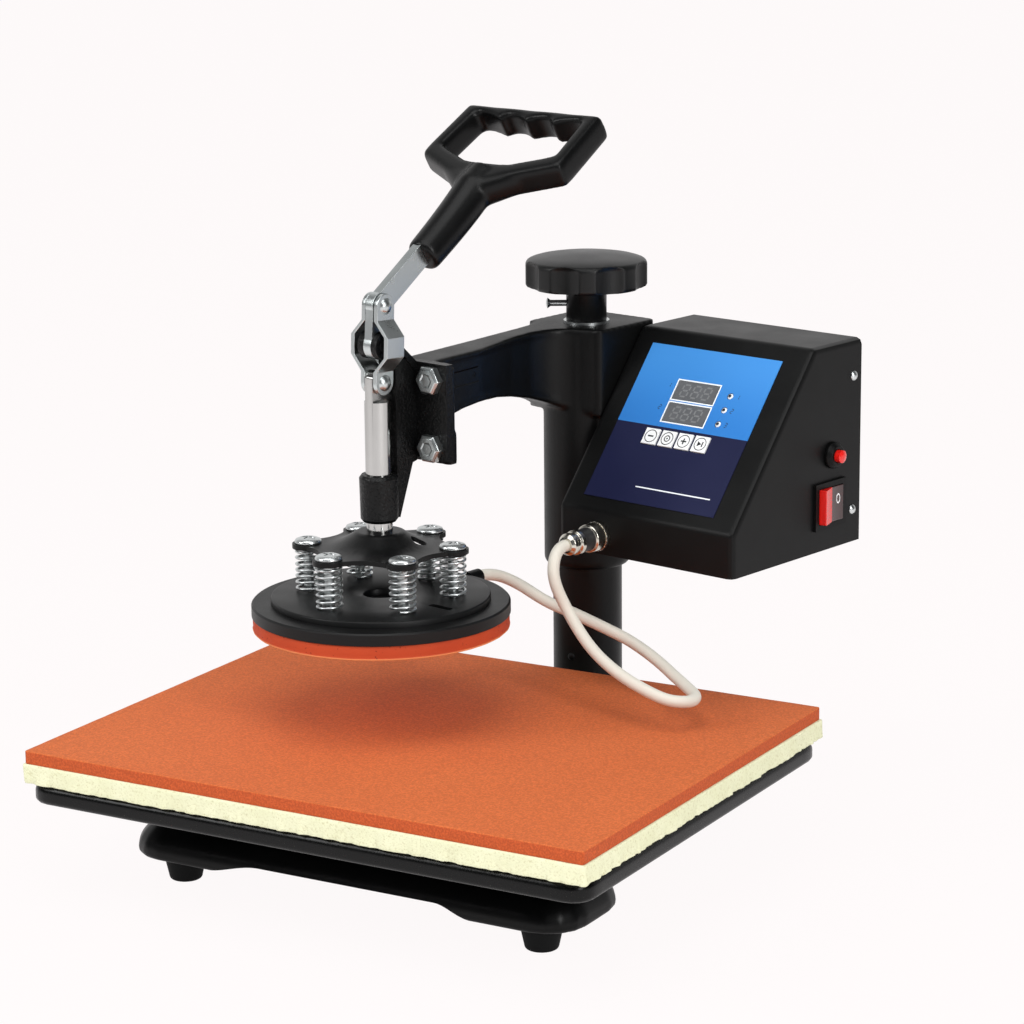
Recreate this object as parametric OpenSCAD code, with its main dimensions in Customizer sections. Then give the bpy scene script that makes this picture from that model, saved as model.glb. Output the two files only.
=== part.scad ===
// Swing-away combo heat press: a round heater on a toggle arm over a padded board.
// Frame: +Z up, the front of the board towards -Y, the floor at z = 0.

/* [Board] */
// Width of the silicone mat
mat_w = 380; // [340:1:420]
// Depth of the silicone mat
mat_d = 305; // [290:1:320]
// Thickness of the silicone mat
mat_t = 8; // [5:0.5:12]
// Thickness of the foam layer under the mat
foam_t = 12; // [8:0.5:18]
// How far the foam stands out past the mat
foam_over = 1.5; // [0.5:0.5:4]
// How far the tray sits in from the mat's edge
tray_inset = 2.5; // [1:0.5:8]
// Height of the tray's rim
tray_h = 11; // [8:0.5:16]
// Sheet thickness of the tray
tray_t = 2; // [1.5:0.25:3]

/* [Base] */
// Height of the rubber feet below the frame
foot_h = 15; // [10:0.5:20]
// Diameter of a foot where it meets the floor
foot_floor_d = 20; // [16:0.5:22]
// Diameter of a foot under the frame
foot_top_d = 26; // [22:0.5:28]
// Distance between the two front feet
front_feet_span = 250; // [220:1:260]
// Distance between the two rear feet
rear_feet_span = 180; // [150:1:210]
// Width of the frame's beams
beam_w = 80; // [76:1:88]
// Height of the frame's beams
frame_h = 23; // [20:0.5:28]
// Sheet thickness of the frame
frame_t = 2.5; // [2:0.25:3]
// Height of the upright lip round the frame's foot
frame_lip = 8; // [6:0.5:10]
// Width of the spine that joins the front and rear beams
spine_w = 122; // [116:1:130]
// How far the front beam's skirt is cut up between the feet
skirt_cut = 8; // [4:0.5:10]
// Height from the frame's top to the tray's top
tray_rise = 35; // [28:0.5:42]

/* [Post] */
// Outside diameter of the post
post_d = 45; // [40:0.5:48]
// Wall thickness of the post
post_wall = 5; // [4:0.5:7]
// Distance of the post behind the middle of the board
post_y = 201; // [195:1:215]
// Diameter of the lift spindle
spindle_d = 16; // [12:0.5:18]
// How far the arm can be lowered from rest
lower_travel = 11; // [6:0.5:12]
// How far the arm can be raised from rest
raise_travel = 15; // [8:0.5:20]

/* [Arm] */
// Swing of the arm from straight ahead, to the left
arm_swing = 11; // [0:1:20]
// Distance from the post to the plunger
arm_reach = 197; // [190:1:210]
// Width of the arm's beam
arm_w = 24; // [20:1:30]
// Outside diameter of the sleeve round the post
sleeve_d = 56; // [54:0.5:60]
// Length of the sleeve, up to the arm's flat top
sleeve_len = 159; // [150:1:170]
// Thickness of the roof that closes the sleeve
roof_t = 18; // [12:1:22]
// Height of the arm's end plate
end_plate_h = 60; // [56:1:64]
// Radius of the arch under the beam
arch_r = 82; // [76:1:90]

/* [Toggle] */
// Crank length from the lever's pivot to the links
crank_r = 24; // [22:0.5:26]
// Length of the links between their rivets
link_len = 46.4; // [44:0.2:50]
// How far the crank leans back at rest
crank_lean = 5; // [2:0.5:10]
// Width of the link strips
link_w = 15; // [13:0.5:16]
// Thickness of the link strips
link_t = 3; // [2:0.25:4]
// How far the links bulge outwards round the fork
link_bulge = 8.5; // [8:0.5:10]
// Thickness of the lever bar
lever_t = 6; // [5:0.25:7]
// Height of the lever bar
lever_h = 14; // [12:0.5:16]
// Angle of the lever bar above the horizontal
lever_angle = 34; // [30:1:38]
// Length of the lever from the link rivet to the middle of the grip's yoke
lever_len = 105; // [98:1:114]
// Diameter of the lever's pivot pin
pivot_d = 8; // [7:0.5:9]
// Diameter of the link rivets
rivet_d = 6; // [5:0.5:7]

/* [Grip] */
// Angle of the grip's loop above the horizontal
grip_angle = 31; // [26:1:36]
// Width of the grip's loop
grip_w = 110; // [106:1:120]
// Length of the grip's loop from the yoke to its far side
grip_len = 72; // [70:1:80]
// Thickness of the grip's loop
grip_t = 17.5; // [16:0.5:20]
// Width of the bars round the grip's loop
grip_bar = 9.5; // [8.5:0.5:11]
// Diameter of the grip's neck
neck_d = 24; // [23:0.5:27]
// Distance from the link rivet to the mouth of the grip's neck
mouth_at = 46; // [42:1:52]

/* [Plunger] */
// Diameter of the plunger shaft
shaft_d = 16; // [14:0.5:18]
// Outside diameter of the guide round the shaft
guide_d = 23; // [22:0.5:26]
// Length of the guide
guide_len = 29; // [26:0.5:32]
// Gap between the spider's hub and the guide at rest
guide_gap = 6; // [4:0.5:8]
// Length of round shaft that shows above the guide at rest
shaft_show = 48.3; // [48:0.1:52]
// Height of the spider's dome
dome_h = 9.5; // [8:0.5:12]
// Sheet thickness of the spider
spider_t = 3; // [2:0.25:4]

/* [Heater] */
// Gap between the heater's pad and the mat at rest
press_gap = 59.5; // [59:0.5:70]
// Diameter of the heater disc
heater_d = 158; // [150:1:165]
// Thickness of the heater disc
heater_t = 7.5; // [7:0.5:10]
// Thickness of the silicone pad under the heater
pad_t = 7.5; // [4:0.5:10]
// Diameter of the cover disc
cover_d = 134; // [124:1:142]
// Thickness of the cover disc
cover_t = 4; // [3:0.5:6]
// Pitch circle diameter of the spring screws
spring_pcd = 90; // [86:1:94]
// Height of the springs at rest
spring_h = 27; // [24:0.5:30]
// Outside diameter of the springs
spring_d = 15.5; // [15:0.5:17]
// Diameter of the spring wire
spring_wire = 1.6; // [1.2:0.1:2]
// Number of turns in a spring
spring_turns = 6; // [4:1:7]
// Diameter of the shoulder of the spring screws
shoulder_d = 10.5; // [9:0.5:11]
// Diameter of the head of the spring screws
screw_head_d = 14.5; // [13:0.5:16]

/* [Control box] */
// Width of the control box
box_w = 137; // [130:1:150]
// Depth of the control box
box_d = 133; // [125:1:140]
// Height of the control box
box_h = 130; // [124:1:140]
// Depth of the control box's top
box_top_d = 50; // [45:1:60]
// Height of the upright lip at the front
lip_h = 27.5; // [26:0.5:32]
// How far the front of the box stands ahead of the post's middle
box_front = 62.5; // [58:0.5:68]
// Sheet thickness of the control box
box_t = 1.5; // [1:0.25:2]
// Radius of the box's rounded edges
box_edge_r = 4; // [3:0.5:6]
// Width of the front overlay
overlay_w = 102; // [98:1:106]
// Height of the front overlay
overlay_h = 111; // [108:1:114]
// Size of a key on the front panel
key_size = 11; // [9:0.5:12]
// Distance between neighbouring keys
key_pitch = 13; // [12.6:0.1:14]

/* [Knob] */
// Diameter of the pressure knob
knob_d = 78; // [70:1:86]
// Height of the pressure knob
knob_h = 21.5; // [20:0.5:26]
// Diameter of the knob's stem
stem_d = 26; // [23:0.5:28]
// Height of the knob's stem
stem_h = 21.5; // [18:0.5:24]
// Number of scallops round the knob
scallops = 8; // [6:1:10]

/* [Cable] */
// Diameter of the heater's cable
cable_d = 8; // [6:0.5:9]

/* [Hidden] */
$fn = 64;
// Clearance of a shaft that turns or slides in its bore
run_fit = 0.05;
// Clearance between pieces of one body
seat_fit = 0.1;
// Clearance between pieces that pass each other
pass_fit = 0.3;
eps = 0.01;
cut = 1;

// Heights of the board's layers
frame_top = foot_h + frame_h;
tray_top = frame_top + tray_rise;
foam_top = tray_top + foam_t;
mat_top = foam_top + mat_t;
foam_w = mat_w + 2 * foam_over;
foam_d = mat_d + 2 * foam_over;
tray_w = mat_w - 2 * tray_inset;
tray_d = mat_d - 2 * tray_inset;
tray_corner_r = 12;
tray_roll_r = 5;
tray_slit_w = 1.5;
tray_slit_in = 26;

// Base frame
front_beam_y = -57.5;
front_beam_x = -4;
foot_out = 19.5;
foot_stem_d = 8.6;
beam_past_foot = [25.5, 29];
frame_corner_r = frame_h - frame_lip + 3;
skirt_notch = [[-98, 0], [-62, skirt_cut], [72, skirt_cut], [88, 0]];
foot_screw_d = 5;
foot_screw_head_d = 9;
foot_screw_head_h = 2.5;
feet = [
    [front_beam_x - front_feet_span / 2, front_beam_y - foot_out],
    [front_beam_x + front_feet_span / 2, front_beam_y - foot_out],
    [-rear_feet_span / 2, post_y + foot_out],
    [rear_feet_span / 2, post_y + foot_out]];
riser_l = 90;
riser_w = 40;
riser_t = 3;
riser_foot = 18;
risers = [front_beam_y, 80];
post_flange = [100, 46, 8];
post_bolt_in = [12, 10];
lock_screw_d = 4;
lock_head_r = 2.5;
lock_head_h = 1.2;
m8 = 8;
m8_head = 13;
m8_head_h = 5;

// Heater stack, from the pad upwards
pad_z = mat_top + press_gap;
heater_z = pad_z + pad_t;
cover_z = heater_z + heater_t;
spring_z = cover_z + cover_t;
spider_z = spring_z + spring_h;
spider_top = spider_z + spider_t;
hub_top = spider_top + dome_h;
float_travel = 6;
screw_angles = [30:60:330];
screw_head_h = 4.5;
recess_l = 6.4;
recess_w = 1.6;
recess_h = 2;
stud_d = 6;
stud_l = 6;
elbow_d = 10;
elbow_stub = 5.3;
elbow_l = 5.5;
elbow_tilt = 0;
elbow_pin_d = 4;
elbow_pin_l = 5;
element_r = 3;
element_ring_r = 50;

// Plunger and toggle
guide_z = hub_top + guide_gap;
guide_top = guide_z + guide_len;
link_run = 3.3;
shoulder_z = guide_top + shaft_show - link_run;
rivet_low_z = shoulder_z + link_run + link_w / 2 + 0.8;
crank_back = crank_r * sin(crank_lean);
pivot_z = rivet_low_z + sqrt(pow(link_len, 2) - pow(crank_back, 2)) - crank_r * cos(crank_lean);
rivet_top_z = pivot_z + crank_r * cos(crank_lean);
link_lean = asin(crank_back / link_len);
tongue_t = lever_t + 0.4;
link_in = tongue_t / 2 + pass_fit;
ear_in = lever_t / 2 + pass_fit;
ear_out = link_in + link_bulge - 4.4;
ear_r = 8.5;
lever_eye_r = 8.5;
rivet_head_r = 5;
rivet_head_h = 2.6;
neck_drop = 2.5;
yoke_at = 10;
yoke_d = 18;
spider_stud_d = 12;
spider_nut_af = 19;
spider_nut_h = 7;

// Swing arm
arm_top = pivot_z - 14;
sleeve_z = arm_top - sleeve_len;
sleeve_bore = post_d + 2 * run_fit;
sleeve_edge_r = 5;
roof_z = arm_top - roof_t;
washer_d = 29.5;
washer_t = 1.5;
collar_d = 26;
collar_h = 6;
collar_gap = 0.3;
post_top = roof_z - collar_gap - collar_h - lower_travel - 2.7;
nut_h = 45;
spindle_l = 130;
spindle_z = post_top - spindle_l;
head_w = 66;
head_front = 20;
head_back = 36;
head_plate_t = 8;
boss_d = 60;
boss_h = 62;
pad_front = 16;
pad_back = 24;
end_plate_t = 6;
end_plate_w = 56;
end_lug = 1.5;
end_lug_h = 20;
flange_t = 6;
flange_w = 63;
flange_z = arm_top - end_plate_h + 2;
rib_w = 14;
rib_clear = 1;
web_foot = 2;
flange_front = -arm_reach + 27;
flange_back = flange_front + flange_t;
rib_front = -arm_reach + shaft_d / 2 + rib_clear;
beam_front = flange_back + end_plate_t / 2;
arch_v = -(arm_reach - 2) / 2;
arch_z = arm_top - 33.5 - arch_r;
panel_border = 7;
panel_depth = 2.5;
panel_front = flange_back + end_plate_t + 2;
pocket = [panel_front + 10, arm_top - 19.5];
pocket_size = [36, 10];
pocket_depth = 0.7;
pocket_hole_d = 3;
pocket_holes = [8, 27];
bracket_bolt_u = 17;
bracket_bolt_z = [arm_top - 9, arm_top - 51];

// Control box, in the arm's frame
box_seat = 0.5;
box_u0 = sleeve_d / 2 + box_seat;
box_u1 = box_u0 + box_w;
box_v0 = -box_front;
box_v1 = box_v0 + box_d;
box_top = arm_top - 1.8;
box_z = box_top - box_h;
lip_top = box_z + lip_h;
panel_run = box_d - box_top_d;
panel_rise = box_h - lip_h;
panel_angle = atan2(panel_rise, panel_run);
panel_len = norm([panel_run, panel_rise]);
panel_edge_r = 6;
overlay_t = 0.5;
overlay_x = (box_w - overlay_w) / 2 - 1.5;
overlay_s = (panel_len - overlay_h) / 2 - 1;
window_w = 32;
window_h = 13;
window_x = overlay_x + 33;
window_s = [overlay_s + 58.5, overlay_s + 74.5];
led_x = overlay_x + 75.5;
led_s = [overlay_s + 62, overlay_s + 72, overlay_s + 82];
led_d = 4;
key_x0 = overlay_x + 31;
key_s = overlay_s + 46.3;
key_rise = 1;
key_travel = 0.6;
board_gap = 12;
board_t = 1.6;
board_w = 90;
board_h = 62;
board_x = overlay_x + 14;
board_s = overlay_s + 36;
standoff_d = 6;
box_screw_d = 3.5;
box_screw_head_d = 6.5;
box_screw_z = [box_z + 21, box_top - 23];
box_screw_v = box_v1 - 8;
flange_strip = 16;
box_bolt_d = 6;
box_bolts_at = [[17, arm_top - 22], [17, arm_top - 58], [-7, arm_top - 58]];
socket_u = box_u0 + 33;
socket_z = box_z + 12;
socket_d = 16;
socket_nut_d = 19;
plug_l = 33;
rocker_v = (box_v0 + box_v1) / 2 + 33;
rocker_z = box_z + 29;
rocker_w = 25;
rocker_h = 23;
rocker_tilt = 9;
rocker_pin_d = 3;
reset_v = rocker_v + 3;
reset_z = box_z + 60;
reset_bezel_d = 17;
reset_button_d = 8;
reset_travel = 3;
mains_u = box_u1 - 32;
mains_z = box_z + 26;
mains_bore = 7.5;
mains_l = 13;
relay = [43, 58, 24];
relay_at = [20, 80];
relay_post = [6, 6, 4];
relay_post_in = 6;

// Knob
stem_z = arm_top + washer_t;
knob_z = stem_z + stem_h;
knob_screw_angle = 220;
knob_screw_d = 4;
scallop_r = 18;
scallop_in = 4;
scallop_turn = 18.5;
scallop_end = 4;

// Middle of the whole object along Y: the foam's front edge to the box's rear corner
box_rear_y = post_y - box_u0 * sin(arm_swing) + box_v1 * cos(arm_swing);
y_mid = (box_rear_y - foam_d / 2) / 2;

// Route of the heater's cable in the arm's frame: right, back and height above the mat
cable_free = [
    [61.5, -99.5, 98], [62, -104.5, 96], [63.5, -109, 91], [65, -111.5, 84], [67, -111, 76],
    [69.5, -108.5, 67.5], [73.5, -106.5, 59], [80, -106.5, 51], [89, -108, 43.5], [100, -110.5, 37.5],
    [113, -112.5, 32], [126, -113.5, 27.5], [138, -113.5, 24], [148, -113, 21.5], [156, -110.5, 19.5],
    [161, -105, 18.5], [162.5, -97.5, 17.5], [159.5, -90, 17.5], [153, -84, 17.5], [145, -79, 18],
    [136, -74, 19], [125, -68.5, 20.5], [112, -63, 23.5], [97, -59.5, 28], [82, -59.5, 33.5],
    [69, -63, 38.5], [58, -68, 43.5], [47.5, -73.5, 48.5], [37, -79.5, 53], [27, -82.5, 57.5],
    [17.5, -83.5, 61.5], [9, -86.5, 65.5], [2.8, -92.5, 69]];
plug_end = [socket_u, box_v0 - plug_l, socket_z - mat_top];
elbow_dir = [0, cos(elbow_tilt), -sin(elbow_tilt)];
elbow_mid = [0, heater_d / 2 + elbow_stub - arm_reach, heater_z + heater_t / 2 - mat_top];
cable_end = elbow_mid + (elbow_l + pass_fit) * elbow_dir;
cable_route = concat([plug_end], cable_free, [cable_end + 0.75 * cable_d * elbow_dir, cable_end]);
cable_sides = 10;

// Frames
module on_base() { translate([0, -y_mid, 0]) children(); }
module on_arm() { translate([0, post_y - y_mid, 0]) rotate([0, 0, -arm_swing]) children(); }
module on_press() { on_arm() translate([0, -arm_reach, 0]) children(); }
module on_panel() { on_arm() translate([box_u0, box_v0, lip_top]) rotate([panel_angle, 0, 0]) children(); }

// A piece drawn with x across, y along the arm and z up is turned so that x runs back and y up
module side_extrude(w) { rotate([90, 0, 90]) linear_extrude(w, center = true) children(); }

// A cylinder along the arm's width axis
module cross_pin(d, l) { rotate([0, 90, 0]) cylinder(d = d, h = l, center = true); }

// A hexagon prism by its width across flats
module hex(af, h) { cylinder(d = af / cos(30), h = h, $fn = 6); }

// A bolt's hexagon head, bevelled at 30 degrees round its top
module hex_head(af, h) {
    top_r = 0.475 * af;
    intersection() {
        hex(af, h);
        cylinder(r1 = top_r + h / tan(30), r2 = top_r, h = h);
    }
}

// A domed rivet head standing on z = 0
module dome(r, h) {
    sphere_r = (r * r + h * h) / (2 * h);
    intersection() {
        translate([0, 0, h - sphere_r]) sphere(sphere_r);
        cylinder(r = r, h = h);
    }
}

// Corner of an outline replaced by an arc
function fillet(p0, p1, p2, r, n) =
    let (d0 = (p0 - p1) / norm(p0 - p1), d2 = (p2 - p1) / norm(p2 - p1),
        half = acos(d0 * d2) / 2, c = p1 + (d0 + d2) / norm(d0 + d2) * r / sin(half),
        s = p1 + d0 * r / tan(half) - c, e = p1 + d2 * r / tan(half) - c,
        a0 = atan2(s.y, s.x), da = (atan2(e.y, e.x) - a0 + 540) % 360 - 180)
    [for (i = [0:n]) c + r * [cos(a0 + da * i / n), sin(a0 + da * i / n)]];
function rounded(p, r, n) =
    [for (i = [0:len(p) - 1])
        each fillet(p[(i + len(p) - 1) % len(p)], p[i], p[(i + 1) % len(p)], r, n)];

// Tube swept along points, closed at both ends
function unit(v) = v / norm(v);
function tangent(p, i) = unit(p[min(i + 1, len(p) - 1)] - p[max(i - 1, 0)]);
function ring(c, t, ref, r, sides) =
    let (a = unit(cross(t, ref)), b = cross(t, a))
    [for (k = [0:sides - 1]) c + r * (cos(360 * k / sides) * a + sin(360 * k / sides) * b)];
module tube(path, tangents, refs, r, sides) {
    n = len(path);
    points = [for (i = [0:n - 1]) each ring(path[i], tangents[i], refs[i], r, sides)];
    sleeve = [for (i = [0:n - 2], k = [0:sides - 1])
        let (a = i * sides + k, b = i * sides + (k + 1) % sides)
        each [[a, b + sides, b], [a, a + sides, b + sides]]];
    first = [for (k = [1:sides - 2]) [0, k, k + 1]];
    last = [for (k = [1:sides - 2]) [(n - 1) * sides, (n - 1) * sides + k + 1, (n - 1) * sides + k]];
    polyhedron(points, concat(sleeve, first, last), convexity = 8);
}
// Half cross-section of a stamped beam: an upright lip, a slope of 45 degrees and a flat top
function beam_edge(middle, inset) =
    let (r = frame_corner_r - inset, h = frame_h - inset, lip = frame_lip - (sqrt(2) - 1) * inset)
    [[middle + r, -cut], [middle + r, lip], [middle + r - h + lip, h]];
module beam_along(middle, inset, l) {
    edge = beam_edge(middle, inset);
    rotate([90, 0, 0]) linear_extrude(l, center = true)
        polygon(concat(edge, [for (i = [2:-1:0]) [-edge[i].x, edge[i].y]]));
}
// Dish of length l and width w with rounded corners
module dish(l, w, inset) {
    x = l / 2 - frame_corner_r;
    y = w / 2 - frame_corner_r;
    beam_along(x, inset, 2 * y);
    rotate(90) beam_along(y, inset, 2 * x);
    for (p = [-x, x], q = [-y, y]) translate([p, q, 0]) rotate_extrude()
        polygon(concat([[0, -cut]], beam_edge(0, inset), [[0, frame_h - inset]]));
}
module frame_form(inset) {
    translate([front_beam_x, front_beam_y, foot_h])
        dish(front_feet_span + 2 * beam_past_foot[0], beam_w, inset);
    translate([0, post_y, foot_h]) dish(rear_feet_span + 2 * beam_past_foot[1], beam_w, inset);
    translate([0, (front_beam_y + post_y) / 2, foot_h])
        beam_along(spine_w / 2 - frame_corner_r, inset, post_y - front_beam_y);
}
module base_frame() {
    color("#1b1c1e") on_base() difference() {
        intersection() {
            frame_form(0);
            translate([-mat_w, -mat_d, foot_h]) cube([2 * mat_w, 3 * mat_d, frame_h]);
        }
        frame_form(frame_t);
        // The skirt rises between the front feet
        translate([front_beam_x, front_beam_y, foot_h]) rotate([90, 0, 0])
            linear_extrude(beam_w + 2 * cut, center = true)
                polygon(concat([[skirt_notch[3].x, -cut], [skirt_notch[0].x, -cut]], skirt_notch));
        for (f = feet) translate([f.x, f.y, foot_h])
            cylinder(d = foot_screw_d + 2 * seat_fit, h = frame_h + cut);
        for (y = risers, x = riser_bolt_x()) translate([x, y, frame_top - 2 * frame_t])
            cylinder(d = m8 + 2 * seat_fit, h = 3 * frame_t);
        for (b = post_bolts_at()) translate([b.x, b.y, frame_top - 2 * frame_t])
            cylinder(d = m8 + 2 * seat_fit, h = 3 * frame_t);
    }
}
function riser_bolt_x() = [for (s = [-1, 1]) s * (riser_l / 2 - riser_foot / 2)];
function post_bolts_at() = [for (s = [-1, 1], q = [-1, 1])
    [s * (post_flange.x / 2 - post_bolt_in.x), post_y + q * (post_flange.y / 2 - post_bolt_in.y)]];

module rubber_feet() {
    stem_top = frame_top - frame_t;
    color("#1d1d1f") on_base() for (f = feet) translate([f.x, f.y, 0]) difference() {
        rotate_extrude() polygon([[0, 0], [foot_floor_d / 2 - 1, 0], [foot_floor_d / 2, 1],
            [foot_top_d / 2, foot_h - seat_fit], [foot_stem_d / 2, foot_h - seat_fit],
            [foot_stem_d / 2, stem_top], [0, stem_top]]);
        translate([0, 0, foot_h / 2]) cylinder(d = foot_screw_d + 2 * seat_fit, h = frame_h + foot_h);
    }
}
module foot_screws() {
    color("silver") on_base() for (f = feet) translate([f.x, f.y, 0]) {
        translate([0, 0, foot_h / 2 + 1]) cylinder(d = foot_screw_d, h = frame_top - foot_h / 2 - 1 + eps);
        translate([0, 0, frame_top]) dome(foot_screw_head_d / 2, foot_screw_head_h);
    }
}

module tray_risers() {
    top = tray_top - tray_t;
    color("#26272a") on_base() for (y = risers) translate([0, y, frame_top]) difference() {
        union() {
            translate([-riser_l / 2, -riser_w / 2, 0]) cube([riser_l, riser_w, riser_t]);
            translate([-riser_l / 2 + riser_foot, -riser_w / 2, 0])
                cube([riser_l - 2 * riser_foot, riser_w, top - frame_top]);
        }
        translate([-riser_l / 2 + riser_foot + riser_t, -riser_w / 2 - cut, -cut])
            cube([riser_l - 2 * riser_foot - 2 * riser_t, riser_w + 2 * cut, top - frame_top - riser_t + cut]);
        for (x = riser_bolt_x()) translate([x, 0, -cut]) cylinder(d = m8 + 2 * seat_fit, h = riser_t + 2 * cut);
    }
}
// Hex bolt pointing down, with its head standing on z = 0
module hex_bolt(d, af, head_h, l) {
    hex_head(af, head_h);
    translate([0, 0, -l]) cylinder(d = d, h = l + eps);
}
module riser_bolts() {
    color("silver") on_base() for (y = risers, x = riser_bolt_x()) translate([x, y, frame_top + riser_t])
        hex_bolt(m8, m8_head, m8_head_h, riser_t + frame_t + 4);
}

// Rounded pan: a plate with its rim rolled down
module pan(w, d, h, corner_r, roll_r) {
    hull() for (x = [-1, 1], y = [-1, 1])
        translate([x * (w / 2 - corner_r), y * (d / 2 - corner_r), 0]) rotate_extrude($fn = 32) {
            square([corner_r, h - roll_r]);
            square([corner_r - roll_r, h]);
            translate([corner_r - roll_r, h - roll_r]) intersection() {
                circle(roll_r, $fn = 24);
                square(roll_r);
            }
        }
}
module tray() {
    color("#202124") on_base() translate([0, 0, tray_top - tray_h]) difference() {
        pan(tray_w, tray_d, tray_h, tray_corner_r, tray_roll_r);
        translate([0, 0, -cut]) pan(tray_w - 2 * tray_t, tray_d - 2 * tray_t, tray_h - tray_t + cut,
            tray_corner_r - tray_t, tray_roll_r - tray_t);
        // Slits where the rim's bent sides meet its corners
        for (s = [-1, 1]) translate([s * tray_w / 2, tray_d / 2 - tray_slit_in, -cut])
            cube([4 * tray_t, tray_slit_w, 2 * (tray_h - tray_roll_r)], center = true);
    }
}
module foam_pad() {
    color("#ece6c8") on_base() translate([-foam_w / 2, -foam_d / 2, tray_top]) cube([foam_w, foam_d, foam_t]);
}
module silicone_mat() {
    color("#d9713f") on_base() translate([-mat_w / 2, -mat_d / 2, foam_top]) cube([mat_w, mat_d, mat_t]);
}

module post() {
    color("#17181a") on_base() translate([0, post_y, frame_top]) difference() {
        union() {
            cylinder(d = post_d, h = post_top - frame_top);
            translate([-post_flange.x / 2, -post_flange.y / 2, 0]) cube(post_flange);
        }
        translate([0, 0, -cut]) cylinder(d = post_d - 2 * post_wall, h = post_top - frame_top + 2 * cut);
        for (b = post_bolts_at()) translate([b.x, b.y - post_y, -cut])
            cylinder(d = m8 + 2 * seat_fit, h = post_flange.z + 2 * cut);
        translate([0, 0, mat_top - frame_top]) rotate([90, 0, 0])
            cylinder(d = lock_screw_d + 2 * seat_fit, h = post_d);
    }
}
module post_bolts() {
    color("silver") on_base() for (b = post_bolts_at()) translate([b.x, b.y, frame_top + post_flange.z])
        hex_bolt(m8, m8_head, m8_head_h, post_flange.z + frame_t + 4);
}
module post_lock_screw() {
    color("silver") on_base() translate([0, post_y, mat_top]) rotate([90, 0, 0]) {
        translate([0, 0, post_d / 2 - post_wall]) cylinder(d = lock_screw_d, h = post_wall + eps);
        translate([0, 0, post_d / 2]) dome(lock_head_r, lock_head_h);
    }
}
module lift_nut() {
    color("#b59a4a") on_base() translate([0, post_y, post_top - nut_h]) difference() {
        union() {
            cylinder(d = post_d - 2 * post_wall - 2 * seat_fit, h = nut_h + eps);
            translate([0, 0, nut_h]) cylinder(d = post_d - 2, h = 1.5);
        }
        translate([0, 0, -cut]) cylinder(d = spindle_d + 2 * run_fit, h = nut_h + 4);
    }
}
module thrust_washer() {
    color("#d8dadd") on_arm() translate([0, 0, arm_top]) difference() {
        cylinder(d = washer_d, h = washer_t);
        translate([0, 0, -cut]) cylinder(d = spindle_d + 2 * run_fit, h = washer_t + 2 * cut);
    }
}

// Outline of the arm's beam in the plane of its side, from a front edge on and drawn in by a border
module beam_side(front, border) {
    back = -sleeve_d / 4;
    difference() {
        translate([front, arm_top - end_plate_h + border]) square([back - front, end_plate_h - 2 * border]);
        translate([arch_v, arch_z]) circle(arch_r + border, $fn = 128);
    }
}
module sleeve_form() {
    rotate_extrude() {
        translate([0, sleeve_z + sleeve_edge_r]) square([sleeve_d / 2, sleeve_len - sleeve_edge_r - 1]);
        translate([0, sleeve_z]) square([sleeve_d / 2 - sleeve_edge_r, sleeve_edge_r + eps]);
        translate([sleeve_d / 2 - sleeve_edge_r, sleeve_z + sleeve_edge_r]) intersection() {
            circle(sleeve_edge_r);
            translate([0, -sleeve_edge_r]) square([sleeve_edge_r, sleeve_edge_r + eps]);
        }
    }
}
module head_outline() {
    r = 6;
    polygon(rounded([[-head_w / 2, -head_front], [head_w / 2 - 5, -head_front], [head_w / 2 - 5, head_back],
        [-head_w / 2, head_back]], r, 6));
}
module swing_arm() {
    end_w = end_plate_w;
    color("#17181a") on_arm() difference() {
        union() {
            sleeve_form();
            // Boss and flat top plate of the head
            translate([0, 0, arm_top - boss_h]) cylinder(d1 = boss_d - 4, d2 = boss_d, h = boss_h - 1);
            translate([0, 0, arm_top - head_plate_t]) linear_extrude(head_plate_t) head_outline();
            // Flat pad that carries the control box
            translate([0, -pad_front, arm_top - boss_h - 8])
                cube([box_u0, pad_front + pad_back, boss_h + 8 - head_plate_t + eps]);
            // Beam with its arch, and the end plate
            side_extrude(arm_w) beam_side(beam_front, 0);
            translate([-end_w / 2, flange_back, arm_top - end_plate_h])
                cube([end_w, end_plate_t, end_plate_h]);
            translate([-end_w / 2 - end_lug, flange_back, arm_top - end_plate_h - 2])
                cube([end_w + 2 * end_lug, end_plate_t, end_lug_h]);
            // Rib under the root of the beam
            side_extrude(8) polygon([[-44, arm_top - 55], [-20, arm_top - 55], [-20, arm_top - 88]]);
        }
        // Shallow panels in both sides of the beam
        for (s = [-1, 1]) translate([s * arm_w / 2, 0, 0]) side_extrude(2 * panel_depth) difference() {
            beam_side(panel_front, panel_border);
            translate([-boss_d / 2 - 4, 0]) square([boss_d, arm_top]);
        }
        // Small pocket with two holes in the right-hand panel
        translate([arm_w / 2 - panel_depth, pocket.x, pocket.y]) {
            translate([-pocket_depth, 0, 0]) cube([panel_depth, pocket_size.x, pocket_size.y]);
            for (v = pocket_holes) translate([0, v, pocket_size.y / 2]) cross_pin(pocket_hole_d, 8);
        }
        // Flat face that the control box is bolted to
        translate([box_u0, -boss_d, arm_top - boss_h - 10]) cube([boss_d, 2 * boss_d, boss_h + 10 + cut]);
        translate([0, 0, sleeve_z - cut]) cylinder(d = sleeve_bore, h = roof_z - sleeve_z + cut);
        cylinder(d = spindle_d + 2 * pass_fit, h = arm_top + cut);
        for (b = box_bolts_at) translate([box_u0 + cut, b.x, b.y]) rotate([0, -90, 0])
            cylinder(d = box_bolt_d + 2 * seat_fit, h = 6 + cut);
        for (s = [-1, 1], z = bracket_bolt_z) translate([s * bracket_bolt_u, flange_front - cut, z])
            rotate([-90, 0, 0]) cylinder(d = m8 + 2 * seat_fit, h = flange_t + end_plate_t + 2 * cut);
    }
}

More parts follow.
